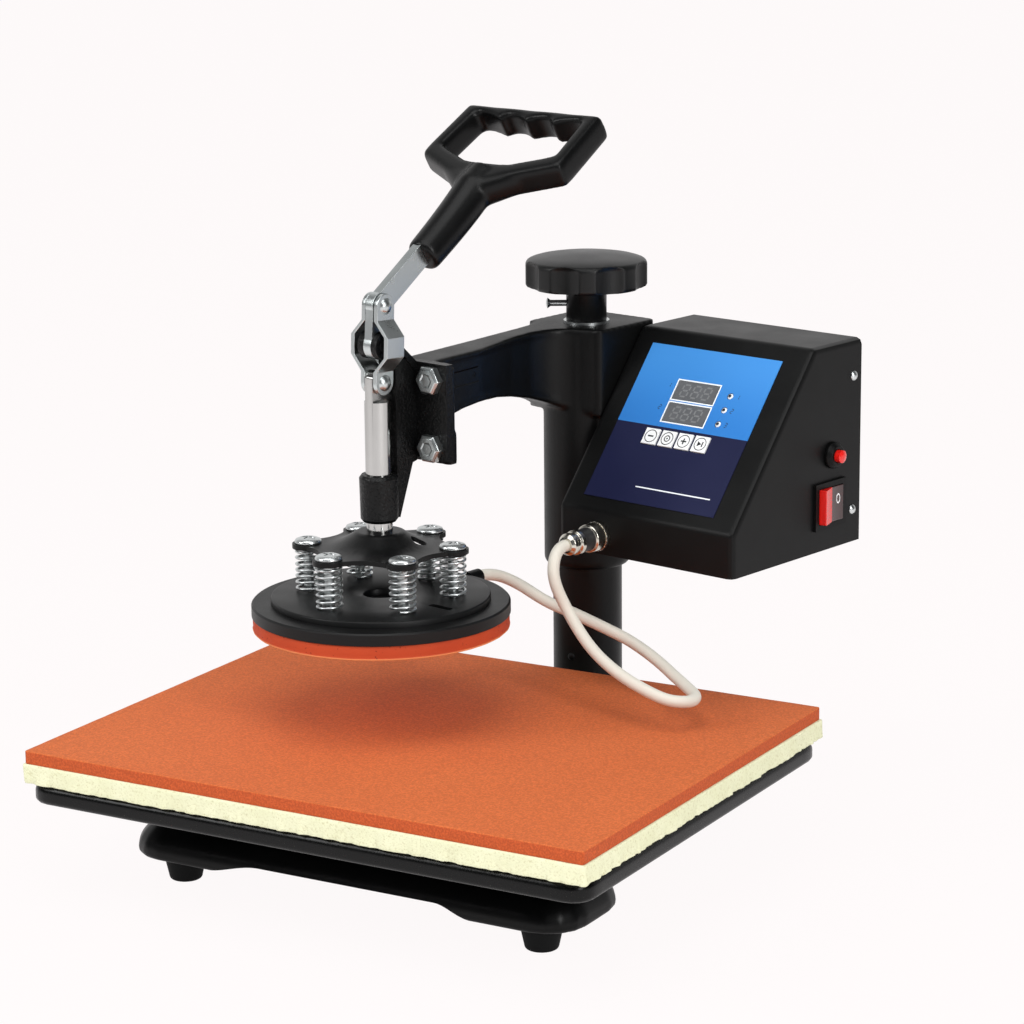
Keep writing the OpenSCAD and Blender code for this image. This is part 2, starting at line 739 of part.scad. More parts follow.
module toggle_bracket() {
    ear_w = ear_out - ear_in;
    color("#1a1b1d") on_arm() difference() {
        union() {
            translate([-flange_w / 2, flange_front, flange_z])
                cube([flange_w, flange_t, arm_top - flange_z + 1]);
            // Upright rib and the web that runs down to the guide
            side_extrude(rib_w) polygon([[rib_front, guide_z + 3], [rib_front, pivot_z - 8],
                [flange_front + eps, arm_top + 1], [flange_front + eps, flange_z - 2],
                [flange_front - 4, flange_z - 3], [rib_front + web_foot, guide_z + 1]]);
            translate([0, -arm_reach, guide_z]) rotate_extrude() polygon([[0, 0], [guide_d / 2 - 1.5, 0],
                [guide_d / 2, 2], [guide_d / 2 + 0.5, guide_len - 2], [guide_d / 2 - 1, guide_len],
                [0, guide_len]]);
            // Fork that holds the lever's pivot
            for (s = [-1, 1]) translate([s * (ear_in + ear_w / 2), 0, 0]) side_extrude(ear_w) {
                translate([-arm_reach, pivot_z]) circle(ear_r);
                polygon([[-arm_reach, pivot_z - ear_r], [-arm_reach + 0.57 * ear_r, pivot_z + 0.81 * ear_r],
                    [flange_front + eps, arm_top + 1], [flange_front + eps, arm_top - 6],
                    [rib_front + link_w / 2, pivot_z - ear_r]]);
            }
        }
        translate([0, -arm_reach, guide_z - cut]) cylinder(d = shaft_d + 2 * run_fit, h = guide_len + 2 * cut);
        // Slot for the lever between the ears
        translate([-ear_in, -arm_reach - 2 * ear_r, pivot_z - ear_r - 3])
            cube([2 * ear_in, 2 * ear_r + flange_front + arm_reach - 3, 4 * ear_r]);
        translate([0, -arm_reach, pivot_z]) cross_pin(pivot_d, 4 * ear_out);
        for (s = [-1, 1], z = bracket_bolt_z) translate([s * bracket_bolt_u, flange_front - cut, z])
            rotate([-90, 0, 0]) cylinder(d = m8 + 2 * seat_fit, h = flange_t + 2 * cut);
    }
}
module bracket_bolts() {
    color("silver") on_arm() for (s = [-1, 1], z = bracket_bolt_z)
        translate([s * bracket_bolt_u, flange_front, z]) rotate([90, 0, 0])
            hex_bolt(m8, m8_head, m8_head_h, flange_t + end_plate_t + 3);
}
module lever_pivot_pin() {
    color("#55585c") on_arm() translate([0, -arm_reach, pivot_z]) {
        cross_pin(pivot_d - 2 * run_fit, 2 * ear_out);
        for (s = [-1, 1]) translate([s * ear_out, 0, 0]) rotate([0, s * 90, 0]) dome(pivot_d / 2 + 1, 1.6);
    }
}

// Outline of the control box's side, drawn in by a border and open past its back and bottom
function slope_in(e) = e * (1 - sin(panel_angle)) / cos(panel_angle);
function slope_top(e) = (panel_rise - e + e * cos(panel_angle)) / sin(panel_angle);
function box_side(e, past) =
    let (lip = [box_v0 + e, lip_top - e * cos(panel_angle) + slope_in(e) * sin(panel_angle)],
        top = [box_v0 + e * sin(panel_angle) + slope_top(e) * cos(panel_angle), box_top - e])
    [[box_v0 + e, box_z - past], lip, top, [box_v1 + past, box_top - e], [box_v1 + past, box_z - past]];
module box_skin(e, side_in, past) {
    translate([(box_u0 + box_u1) / 2, 0, 0]) side_extrude(box_w - 2 * side_in)
        polygon(rounded(box_side(e, past), max(panel_edge_r - e, 1), 5));
}
module panel_cuts(more) {
    for (s = window_s) translate([window_x - more, s - more, -2 * box_t])
        cube([window_w + 2 * more, window_h + 2 * more, 4 * box_t]);
    for (s = led_s) translate([led_x, s, -2 * box_t]) cylinder(d = led_d + 2 * more, h = 4 * box_t);
    for (k = [0:3]) translate([key_x0 + k * key_pitch, key_s, 0])
        cube([key_size + 2 * more, key_size + 2 * more, 4 * box_t], center = true);
}
module box_cover() {
    past = 8;
    round_45 = box_edge_r * (1 - cos(45));
    color("#1a1b1c") difference() {
        on_arm() difference() {
            intersection() {
                hull() {
                    box_skin(0, box_edge_r, past);
                    box_skin(round_45, round_45, past);
                    box_skin(box_edge_r, 0, past);
                }
                translate([box_u0 - cut, box_v0 - cut, box_z])
                    cube([box_w + 2 * cut, box_d + cut, box_h + cut]);
            }
            translate([(box_u0 + box_u1) / 2, 0, 0]) side_extrude(box_w - 2 * box_t)
                polygon(box_side(box_t, past));
            for (u = [box_u0, box_u1], z = box_screw_z) translate([u, box_screw_v, z])
                cross_pin(box_screw_d + 2 * seat_fit, 4 * box_t);
            for (b = box_bolts_at) translate([box_u0, b.x, b.y])
                cross_pin(box_bolt_d + 2 * seat_fit, 4 * box_t);
            translate([socket_u, box_v0 + box_t / 2, socket_z]) rotate([90, 0, 0])
                cylinder(d = socket_d + 2 * seat_fit, h = 4 * box_t, center = true);
            translate([box_u1, reset_v, reset_z]) cross_pin(reset_bezel_d - 3 + 2 * seat_fit, 4 * box_t);
            translate([box_u1, rocker_v, rocker_z])
                cube([4 * box_t, rocker_w + 3 + 2 * seat_fit, rocker_h + 3 + 2 * seat_fit], center = true);
        }
        on_panel() panel_cuts(pass_fit);
    }
}
module box_base() {
    inner_w = box_w - 2 * box_t - 2 * seat_fit;
    u0 = box_u0 + box_t + seat_fit;
    color("#1a1b1c") on_arm() difference() {
        union() {
            translate([u0, box_v0 + box_t + seat_fit, box_z]) cube([inner_w, box_d - box_t - seat_fit, box_t]);
            translate([u0, box_v1 - box_t, box_z]) cube([inner_w, box_t, box_h - box_t - seat_fit]);
            for (u = [u0, u0 + inner_w - box_t]) translate([u, box_v1 - flange_strip, box_z])
                cube([box_t, flange_strip, box_h - 3 * box_t - seat_fit]);
        }
        for (u = [box_u0, box_u1], z = box_screw_z) translate([u, box_screw_v, z])
            cross_pin(box_screw_d + 2 * seat_fit, 10 * box_t);
        translate([mains_u, box_v1, mains_z]) rotate([90, 0, 0])
            cylinder(d = 12 + 2 * seat_fit, h = 4 * box_t, center = true);
    }
}
module box_screws() {
    color("silver") on_arm() for (s = [-1, 1], z = box_screw_z)
        translate([s < 0 ? box_u0 : box_u1, box_screw_v, z]) rotate([0, s * 90, 0]) {
            dome(box_screw_head_d / 2, 2);
            translate([0, 0, -2 * box_t - 3]) cylinder(d = box_screw_d, h = 2 * box_t + 3 + eps);
        }
}
module box_bolts() {
    color("silver") on_arm() for (b = box_bolts_at) translate([box_u0 + box_t, b.x, b.y]) rotate([0, 90, 0])
        hex_bolt(box_bolt_d, 10, 4, box_t + 5.5);
}
module front_overlay() {
    color("#3d86d6") difference() {
        on_panel() translate([overlay_x, overlay_s, 0]) cube([overlay_w, overlay_h, overlay_t]);
        on_panel() panel_cuts(pass_fit);
    }
}
module display_windows() {
    color("#55585c") on_panel() for (s = window_s) translate([window_x, s, -board_gap])
        cube([window_w, window_h, board_gap + overlay_t]);
}
module indicator_leds() {
    color("#f2f2f2") on_panel() for (s = led_s) translate([led_x, s, -board_gap]) {
        cylinder(d = led_d, h = board_gap + eps);
        translate([0, 0, board_gap]) dome(led_d / 2, 1.2);
    }
}
module control_board() {
    posts = [for (x = [4, board_w - 4], y = [4, board_h - 4]) [x, y]];
    color("#1f6b3a") on_panel() translate([board_x, board_s, -board_gap - board_t]) {
        cube([board_w, board_h, board_t]);
        for (p = posts) translate([p.x, p.y, board_t - eps])
            cylinder(d = standoff_d, h = board_gap - box_t - seat_fit + eps);
    }
}
module power_relay() {
    color("#d8d4c8") on_arm() translate([box_u0 + relay_at.x, box_v1 - relay_at.y, box_z + box_t]) {
        cube(relay);
        for (x = [relay_post_in, relay.x - relay_post_in - relay_post.x],
            y = [relay_post_in, relay.y - relay_post_in - relay_post.y])
            translate([x, y, relay.z - eps]) cube(relay_post);
    }
}
// Panel socket: flange nut outside, threaded body through the lip
module cable_socket() {
    color("#c9c4b4") on_arm() translate([socket_u, box_v0, socket_z]) rotate([90, 0, 0]) {
        translate([0, 0, -box_t - 12]) cylinder(d = socket_d, h = box_t + 12 + eps);
        difference() {
            cylinder(d = socket_nut_d, h = 4);
            for (k = [0:23]) rotate(k * 15) translate([socket_nut_d / 2 + 0.4, 0, -cut])
                cylinder(r = 0.8, h = 6);
        }
    }
}
// Cable plug: coupling ring, black band and clamp
module cable_plug() {
    color("#c9c4b4") on_arm() translate([socket_u, box_v0, socket_z]) rotate([90, 0, 0])
        translate([0, 0, 4]) rotate_extrude() polygon([[0, 0], [8.6, 0], [9, 0.6], [9, 7.4], [8.4, 8],
            [7.2, 8.4], [7.2, 17], [7.8, 17.4], [7.8, 20.6], [6.6, 21.4], [6.6, 24], [7, 24.4], [7, 27],
            [5.2, plug_l - 4], [0, plug_l - 4]]);
}
module heater_cable() {
    n = len(cable_route);
    lift = [0, 0, mat_top];
    tangents = [for (i = [0:n - 1])
        i == 0 ? [0, -1, 0] : i == n - 1 ? -elbow_dir : tangent(cable_route, i)];
    color("#f1f0ec") on_arm() tube([for (p = cable_route) p + lift], tangents,
        [for (p = cable_route) [1, 1, 1]], cable_d / 2, cable_sides);
}
module breaker_body() {
    body_d = reset_bezel_d - 3;
    color("#141414") on_arm() translate([box_u1, reset_v, reset_z]) rotate([0, 90, 0]) difference() {
        union() {
            translate([0, 0, -20]) cylinder(d = body_d, h = 20 + eps);
            rotate_extrude()
                polygon([[0, 0], [reset_bezel_d / 2, 0], [reset_bezel_d / 2, 2], [6.4, 5], [0, 5]]);
        }
        translate([0, 0, -8]) cylinder(d = reset_button_d + 2 * pass_fit, h = 20);
    }
}
module reset_button() {
    color("#d9231c") on_arm() translate([box_u1, reset_v, reset_z]) rotate([0, 90, 0]) {
        translate([0, 0, -8 + reset_travel + 0.2]) cylinder(d = reset_button_d, h = 16 - reset_travel);
        translate([0, 0, 8.2 - eps]) dome(reset_button_d / 2, 1);
    }
}
module switch_housing() {
    lip = 2;
    color("#141414") on_arm() translate([box_u1, rocker_v, rocker_z]) difference() {
        union() {
            translate([-18, -rocker_w / 2 - 1.5, -rocker_h / 2 - 1.5])
                cube([18 + eps, rocker_w + 3, rocker_h + 3]);
            translate([0, -rocker_w / 2 - 3.5, -rocker_h / 2 - 3.5]) cube([lip, rocker_w + 7, rocker_h + 7]);
        }
        translate([-8, -rocker_w / 2, -rocker_h / 2]) cube([8 + lip + cut, rocker_w, rocker_h]);
        cylinder(d = rocker_pin_d + 2 * run_fit, h = rocker_h + 2.6, center = true);
    }
}
// Rocker: two faces that meet in a shallow valley, on a pin, leaning into its rest position
module power_rocker() {
    half = rocker_w / 2 - pass_fit - 0.5;
    color("#e0241c") on_arm() translate([box_u1, rocker_v, rocker_z]) rotate([0, 0, rocker_tilt]) {
        linear_extrude(rocker_h - 2 * pass_fit, center = true)
            polygon([[-4, 0], [-1.5, -half], [4.6, -half], [2.6, 0], [4.6, half], [-1.5, half]]);
        cylinder(d = rocker_pin_d, h = rocker_h + 2.2, center = true);
    }
}
module mains_gland() {
    color("#1b1b1d") on_arm() translate([mains_u, box_v1, mains_z]) rotate([-90, 0, 0]) difference() {
        union() {
            hex(18, 4);
            translate([0, 0, -box_t - 8]) cylinder(d = 12, h = box_t + 8 + eps);
            rotate_extrude() polygon([[0, 0], [7.5, 0], [7.5, 8], [5.5, mains_l], [0, mains_l]]);
        }
        translate([0, 0, -box_t - 8 - cut]) cylinder(d = mains_bore, h = mains_l + box_t + 8 + 2 * cut);
    }
}
module key(k) {
    color("#f4f4f4") on_panel() translate([key_x0 + k * key_pitch, key_s, 0]) {
        translate([-key_size / 2, -key_size / 2, -box_t])
            cube([key_size, key_size, box_t + overlay_t + key_rise]);
        translate([0, 0, -board_gap + key_travel + 0.2])
            cylinder(d = 5, h = board_gap - box_t - key_travel - 0.2 + eps);
    }
}
module minus_key() { key(0); }
module mode_key() { key(1); }
module plus_key() { key(2); }
module enter_key() { key(3); }

module pressure_knob() {
    crown = 4;
    edge = 3;
    bulge_r = (pow(knob_d / 2, 2) + crown * crown) / (2 * crown);
    color("#1c1d1f") on_arm() translate([0, 0, knob_z]) difference() {
        union() {
            intersection() {
                rotate_extrude() polygon(concat([[0, 0]], [[knob_d / 2 - 1.5, 0], [knob_d / 2, 1.5]],
                    fillet([knob_d / 2, 0], [knob_d / 2, knob_h - crown], [0, knob_h], edge, 6),
                    [[0, knob_h]]));
                translate([0, 0, knob_h - bulge_r]) sphere(bulge_r, $fn = 128);
            }
            translate([0, 0, -stem_h]) cylinder(d = stem_d, h = stem_h + eps);
        }
        for (k = [0:scallops - 1]) rotate(scallop_turn + k * 360 / scallops)
            translate([knob_d / 2 + scallop_r - scallop_in, 0, 0]) {
                scallop_h = knob_h - crown - 2 - scallop_end;
                translate([0, 0, -cut]) cylinder(r = scallop_r, h = scallop_h + cut);
                translate([0, 0, scallop_h - eps])
                    cylinder(r1 = scallop_r, r2 = scallop_r - scallop_in + 0.6, h = scallop_end);
            }
        translate([0, 0, -stem_h - cut]) cylinder(d = spindle_d + 2 * seat_fit, h = stem_h + knob_h / 2 + cut);
        translate([0, 0, -stem_h / 2]) rotate([0, 90, knob_screw_angle])
            cylinder(d = knob_screw_d + 2 * seat_fit, h = stem_d);
    }
}
module lift_spindle() {
    color("#8d9094") on_arm() translate([0, 0, spindle_z])
        cylinder(d = spindle_d, h = knob_z + knob_h / 2 - spindle_z - seat_fit);
}
module spindle_collar() {
    color("#8d9094") on_arm() translate([0, 0, roof_z - collar_gap - collar_h]) difference() {
        cylinder(d = collar_d, h = collar_h);
        translate([0, 0, -cut]) cylinder(d = spindle_d + 2 * seat_fit, h = collar_h + 2 * cut);
    }
}
module knob_screw() {
    out = 12;
    color("silver") on_arm() translate([0, 0, stem_z + stem_h / 2]) rotate([0, 90, knob_screw_angle]) {
        translate([0, 0, spindle_d / 2 + seat_fit])
            cylinder(d = knob_screw_d, h = stem_d / 2 - spindle_d / 2 - seat_fit + out + eps);
        translate([0, 0, stem_d / 2 + out - 2]) cylinder(d1 = knob_screw_d, d2 = 7, h = 2 + eps);
        translate([0, 0, stem_d / 2 + out]) dome(3.5, 1);
    }
}

// Side view of the lever: crank eyes and the bar to the grip
module lever_side() {
    crank = [crank_back, crank_r * cos(crank_lean)];
    circle(lever_eye_r);
    translate(crank) circle(8);
    rotate(-crank_lean) translate([-7.5, 0]) square([15, crank_r]);
    translate(crank) rotate(lever_angle) translate([0, -lever_h / 2]) square([lever_len - 12, lever_h]);
}
module lever_bar() {
    color("#c6cacc") on_press() translate([0, 0, pivot_z]) difference() {
        side_extrude(lever_t) lever_side();
        cross_pin(pivot_d, 2 * lever_t);
        translate([0, crank_back, rivet_top_z - pivot_z]) cross_pin(rivet_d + 2 * run_fit, 2 * lever_t);
    }
}
// Plate in the loop's plane with rounded corners and softened edges
module soft_plate(outline, r, soft) {
    hull() {
        linear_extrude(grip_t - 2 * soft, center = true) polygon(rounded(outline, r, 4));
        linear_extrude(grip_t, center = true) offset(delta = -soft) polygon(rounded(outline, r, 4));
    }
}
function mirrored(p) = concat(p, [for (i = [len(p) - 1:-1:0]) [-p[i].x, p[i].y]]);
module lever_grip() {
    half = grip_w / 2;
    near = 0.34 * grip_len;
    inner = half - grip_bar;
    groove_pitch = 0.24 * grip_w;
    groove_r = 14;
    groove_far = grip_len - 7.5;
    neck_len = lever_len - mouth_at;
    // From the link rivet along the bar to the yoke, then into the plane of the loop
    color("#1b1b1d") on_press() translate([0, crank_back, rivet_top_z]) difference() {
        rotate([lever_angle, 0, 0]) translate([0, lever_len, 0]) {
            rotate([grip_angle - lever_angle, 0, 0]) difference() {
                soft_plate(mirrored([[12, 5], [half, near], [half - 2.5, grip_len]]), 4, 2);
                // Opening for the fingers, with a groove for each finger along its far side
                linear_extrude(2 * grip_t, center = true) {
                    polygon(rounded(mirrored([[17, 19.5], [inner, near + 7], [inner - 2.5, groove_far - 5]]),
                        3, 3));
                    intersection() {
                        for (k = [-1.5:1:1.5]) translate([k * groove_pitch, groove_far - groove_r])
                            circle(groove_r);
                        translate([-inner + 1, near + 7]) square([2 * inner - 2, grip_len]);
                    }
                }
            }
            hull() {
                translate([0, 0, -neck_drop]) rotate([90, 0, 0]) {
                    cylinder(d = neck_d - 2, h = neck_len, $fn = 32);
                    cylinder(d = neck_d, h = neck_len - 1.5, $fn = 32);
                }
                rotate([grip_angle - lever_angle, 0, 0]) translate([0, yoke_at, 0])
                    cylinder(d = yoke_d, h = grip_t - 2, center = true, $fn = 32);
            }
        }
        // Pocket for the bar
        rotate([lever_angle, 0, 0]) translate([-lever_t / 2 - seat_fit, 0, -lever_h / 2 - seat_fit])
            cube([lever_t + 2 * seat_fit, lever_len - 12 + seat_fit, lever_h + 2 * seat_fit]);
    }
}
// Bulged link strip: its bent section crossed with its rounded outline
module link(side) {
    bend = [[-link_w, 0], [8.6, 0], [17.8, link_bulge], [30.1, link_bulge], [link_len - 6.8, 0],
        [link_len + link_w, 0]];
    inner = [for (p = bend) [side * (link_in + p.y), -p.x]];
    outer = [for (i = [len(bend) - 1:-1:0]) [side * (link_in + bend[i].y + link_t), -bend[i].x]];
    color("#c6cacc") on_press() translate([0, crank_back, rivet_top_z]) rotate([-link_lean, 0, 0])
    difference() {
        intersection() {
            rotate([90, 0, 0]) linear_extrude(2 * link_w, center = true) polygon(concat(inner, outer));
            side_extrude(80) {
                circle(d = link_w);
                translate([0, -link_len]) circle(d = link_w);
                translate([-link_w / 2, -link_len]) square([link_w, link_len]);
            }
        }
        for (z = [0, -link_len]) translate([0, 0, z]) cross_pin(rivet_d, 80);
    }
}
module link_left() { link(-1); }
module link_right() { link(1); }
module link_rivets() {
    out = link_in + link_t;
    color("#d5d8da") on_press() translate([0, crank_back, rivet_top_z]) rotate([-link_lean, 0, 0]) {
        cross_pin(rivet_d, 2 * out + eps);
        for (s = [-1, 1]) {
            translate([s * out, 0, 0]) rotate([0, s * 90, 0]) dome(rivet_head_r, rivet_head_h);
            translate([s * out, 0, -link_len]) rotate([0, s * 90, 0]) dome(rivet_head_r, rivet_head_h);
            translate([s * (out - link_t / 2), 0, -link_len]) cross_pin(rivet_d, link_t + eps);
        }
    }
}

module plunger_shaft() {
    tongue_top = rivet_low_z + 8;
    color("#b9bcbf") on_press() difference() {
        union() {
            translate([0, 0, hub_top]) cylinder(d = shaft_d, h = shoulder_z - hub_top);
            translate([0, 0, hub_top - dome_h - 1])
                cylinder(d = spider_stud_d, h = dome_h + 1 + eps);
            intersection() {
                cylinder(d = shaft_d, h = tongue_top);
                translate([0, 0, rivet_low_z]) side_extrude(tongue_t) {
                    circle(8);
                    translate([-8, -rivet_low_z + shoulder_z - eps])
                        square([16, rivet_low_z - shoulder_z + eps]);
                }
            }
        }
        translate([0, 0, rivet_low_z]) cross_pin(rivet_d + 2 * seat_fit, 2 * tongue_t);
    }
}
module plunger_pin() {
    color("#d5d8da") on_press() translate([0, 0, rivet_low_z]) cross_pin(rivet_d, tongue_t);
}

// Outline of the spider: six lobes with hollow sides between them
module spider_outline() {
    lobe_r = screw_head_d / 2 + 2.5;
    difference() {
        circle(spring_pcd / 2 + 4);
        for (a = screw_angles) rotate(a + 30) translate([spring_pcd / 2 + 20, 0]) circle(26);
    }
    for (a = screw_angles) rotate(a) translate([spring_pcd / 2, 0]) circle(lobe_r);
}
module spider_plate() {
    r0 = spring_pcd / 2 - screw_head_d / 2 - pass_fit;
    hub_r = 15;
    t = spider_t;
    color("#1c1d1f") on_press() difference() {
        union() {
            translate([0, 0, spider_z]) linear_extrude(t) spider_outline();
            rotate_extrude() polygon([[0, spider_z], [r0, spider_z], [r0, spider_z + t],
                [30, spider_top + 1.2], [24, spider_top + 3.4], [hub_r + 2, spider_top + dome_h - 2],
                [hub_r, spider_top + dome_h - 0.6], [hub_r - 2, hub_top], [0, hub_top]]);
        }
        translate([0, 0, -t]) rotate_extrude() polygon([[0, spider_z - cut], [r0 - 1, spider_z - cut],
            [r0 - 1, spider_z + t], [30, spider_top + 1.2], [24, spider_top + 3.4],
            [hub_r + 2, spider_top + dome_h - 2], [hub_r, spider_top + dome_h - 0.6], [hub_r - 2, hub_top],
            [0, hub_top]]);
        translate([0, 0, spider_z]) cylinder(d = spider_stud_d + 2 * seat_fit, h = 2 * dome_h);
        for (a = screw_angles) rotate(a) translate([spring_pcd / 2, 0, spider_z - cut])
            cylinder(d = shoulder_d + 2 * pass_fit, h = spider_t + 2 * cut);
        rotate(30) translate([24, 0, spider_z]) cylinder(d = 9.5, h = 2 * dome_h);
    }
}
module spider_nut() {
    z = hub_top - spider_t - spider_nut_h;
    color("silver") on_press() translate([0, 0, z]) difference() {
        hex(spider_nut_af, spider_nut_h);
        translate([0, 0, -cut]) cylinder(d = spider_stud_d + 2 * seat_fit, h = spider_nut_h + 2 * cut);
    }
}

// Helical spring with upright ends, and its least gap to itself
spring_mid_r = (spring_d - spring_wire) / 2;
spring_rings = 8;
spring_end = 1.1 * spring_wire;
function coil_point(a, z) = [spring_mid_r * cos(a), spring_mid_r * sin(a), z];
function spring_path() =
    let (n = spring_turns * spring_rings, rise = spring_h - 2 * spring_end)
    concat([coil_point(0, 0)],
        [for (i = [0:n]) coil_point(360 * i / spring_rings, spring_end + rise * i / n)],
        [coil_point(360 * spring_turns, spring_h)]);
spring_points = spring_path();
spring_gap = min([for (i = [0:len(spring_points) - 1], j = [i + 4:1:len(spring_points) - 1])
    norm(spring_points[i] - spring_points[j])]) - spring_wire;
module heater_springs() {
    echo(least_gap_in_spring = spring_gap);
    n = len(spring_points);
    tangents = [for (i = [0:n - 1]) i == 0 || i == n - 1 ? [0, 0, 1] : tangent(spring_points, i)];
    refs = [for (p = spring_points) unit([p.x, p.y, 0])];
    color("#cfd2d4") on_press() for (a = screw_angles)
        rotate(a) translate([spring_pcd / 2, 0, spring_z]) rotate(a)
            tube(spring_points, tangents, refs, spring_wire / 2, 6);
}
module heater_cover() {
    slot_l = 26;
    color("#202124") on_press() translate([0, 0, cover_z]) difference() {
        rotate_extrude() polygon([[0, 0], [cover_d / 2, 0], [cover_d / 2, cover_t - 1],
            [cover_d / 2 - 1, cover_t], [0, cover_t]]);
        translate([0, 0, -cut]) cylinder(d = 22, h = cover_t + 2 * cut);
        rotate(-15) translate([42, -24, cover_t / 2]) cube([slot_l, 5, cover_t + 2 * cut], center = true);
        for (a = screw_angles) rotate(a) translate([spring_pcd / 2, 0, -cut])
            cylinder(d = stud_d + 2 * seat_fit, h = cover_t + 2 * cut);
    }
}
module heating_element() {
    color("#8d9094") on_press() translate([0, 0, cover_z - element_r - 0.2])
        rotate_extrude() translate([element_ring_r + 8, 0]) circle(element_r);
}
module heater_disc() {
    groove = element_r + seat_fit;
    color("#1b1c1e") on_press() translate([0, 0, heater_z]) difference() {
        rotate_extrude() polygon([[0, 0], [heater_d / 2, 0], [heater_d / 2, heater_t - 1],
            [heater_d / 2 - 1, heater_t], [0, heater_t]]);
        rotate_extrude() translate([element_ring_r + 8 - groove, heater_t - 2 * element_r - 0.3])
            square([2 * groove, 2 * element_r + cut]);
        for (a = screw_angles) rotate(a) translate([spring_pcd / 2, 0, heater_t - stud_l + cover_t - 0.2])
            cylinder(d = stud_d + 2 * seat_fit, h = stud_l + cut);
        translate([0, heater_d / 2 - elbow_pin_l - seat_fit, heater_t / 2]) rotate([-90, 0, 0])
            cylinder(d = elbow_pin_d + 2 * seat_fit, h = elbow_pin_l + cut);
    }
}
module heater_pad() {
    color("#d2622f") on_press() translate([0, 0, pad_z]) cylinder(d = heater_d - 1, h = pad_t, $fn = 128);
}
module spring_screws() {
    color("#d5d8da") on_press() for (a = screw_angles) rotate(a) translate([spring_pcd / 2, 0, 0]) {
        translate([0, 0, spring_z - stud_l]) cylinder(d = stud_d, h = stud_l + eps);
        translate([0, 0, spring_z]) cylinder(d = shoulder_d, h = spider_top - spring_z + eps);
        translate([0, 0, spider_top]) difference() {
            rotate_extrude() polygon([[0, 0], [screw_head_d / 2, 0], [screw_head_d / 2, 1.8],
                [screw_head_d / 2 - 1.2, screw_head_h - 0.8], [screw_head_d / 2 - 2.6, screw_head_h],
                [0, screw_head_h]]);
            // Cross recess
            for (turn = [0, 90]) rotate(turn - 40)
                translate([-recess_l / 2, -recess_w / 2, screw_head_h - recess_h])
                    cube([recess_l, recess_w, recess_h + cut]);
        }
    }
}
// Elbow that leads the cable out of the heater's rim: a pin in the disc, a stub and a sleeve that leans down
module heater_gland() {
    color("#141414") on_press() translate([0, heater_d / 2, heater_z + heater_t / 2]) rotate([-90, 0, 0]) {
        translate([0, 0, -elbow_pin_l]) cylinder(d = elbow_pin_d, h = elbow_pin_l + eps);
        cylinder(d = elbow_d, h = elbow_stub);
        translate([0, 0, elbow_stub]) {
            sphere(d = elbow_d);
            rotate([-elbow_tilt, 0, 0]) cylinder(d = elbow_d, h = elbow_l);
        }
    }
}

base_frame();
rubber_feet();
foot_screws();
tray_risers();
riser_bolts();
tray();
foam_pad();
silicone_mat();
post();
post_bolts();
post_lock_screw();
lift_nut();
thrust_washer();
swing_arm();
toggle_bracket();
bracket_bolts();
lever_pivot_pin();
box_cover();
box_base();
box_screws();
box_bolts();
front_overlay();
display_windows();
indicator_leds();
control_board();
power_relay();
cable_socket();
breaker_body();
switch_housing();
mains_gland();
cable_plug();
heater_cable();
pressure_knob();
lift_spindle();
spindle_collar();
knob_screw();
lever_bar();
lever_grip();
link_left();
link_right();
link_rivets();
plunger_shaft();
plunger_pin();
spider_plate();
spider_nut();
heater_springs();
heater_cover();
heating_element();
heater_disc();
heater_pad();
spring_screws();
heater_gland();
minus_key();
mode_key();
plus_key();
enter_key();
power_rocker();
reset_button();
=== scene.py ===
# %% [markdown]
# # A swing-away heat press
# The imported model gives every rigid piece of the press: base, post, arm, toggle, heater and control box.
# This lesson dresses it. It keeps most rigid pieces as they are, rounds their edges and gives each one its
# finish. It models afresh what is soft, wound, moulded, cast or stamped: cable, mat, foam, pad, springs,
# grip, arm, tray, base and knob, and the bolts, screws and cover that show most.

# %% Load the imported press
import math

import bmesh
import bpy
import numpy as np
from mathutils import Matrix, Vector


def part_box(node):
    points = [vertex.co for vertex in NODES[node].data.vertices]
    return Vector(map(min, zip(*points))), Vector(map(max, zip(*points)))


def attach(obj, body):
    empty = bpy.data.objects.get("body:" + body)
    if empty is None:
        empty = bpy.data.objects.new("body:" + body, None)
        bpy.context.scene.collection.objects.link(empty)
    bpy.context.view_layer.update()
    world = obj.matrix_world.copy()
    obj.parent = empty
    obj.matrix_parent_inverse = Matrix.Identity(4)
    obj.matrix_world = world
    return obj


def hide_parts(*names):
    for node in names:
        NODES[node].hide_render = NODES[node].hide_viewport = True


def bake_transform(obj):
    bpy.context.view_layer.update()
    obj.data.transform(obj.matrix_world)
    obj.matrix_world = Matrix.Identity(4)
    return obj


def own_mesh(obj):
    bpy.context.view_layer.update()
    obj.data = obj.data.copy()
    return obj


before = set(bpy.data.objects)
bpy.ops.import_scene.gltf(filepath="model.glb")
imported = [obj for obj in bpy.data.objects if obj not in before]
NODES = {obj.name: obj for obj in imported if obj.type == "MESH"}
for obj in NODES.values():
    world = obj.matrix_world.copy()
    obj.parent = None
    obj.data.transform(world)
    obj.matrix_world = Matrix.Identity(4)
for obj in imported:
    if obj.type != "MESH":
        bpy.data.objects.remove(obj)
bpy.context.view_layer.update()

# %% [markdown]
# ## Where things are
# All sizes are in millimetres in the arm's own frame: u runs right, v runs back from the post's axis, z up.
# The arm is swung eleven degrees to the left, so one small function turns such points into the press's frame.

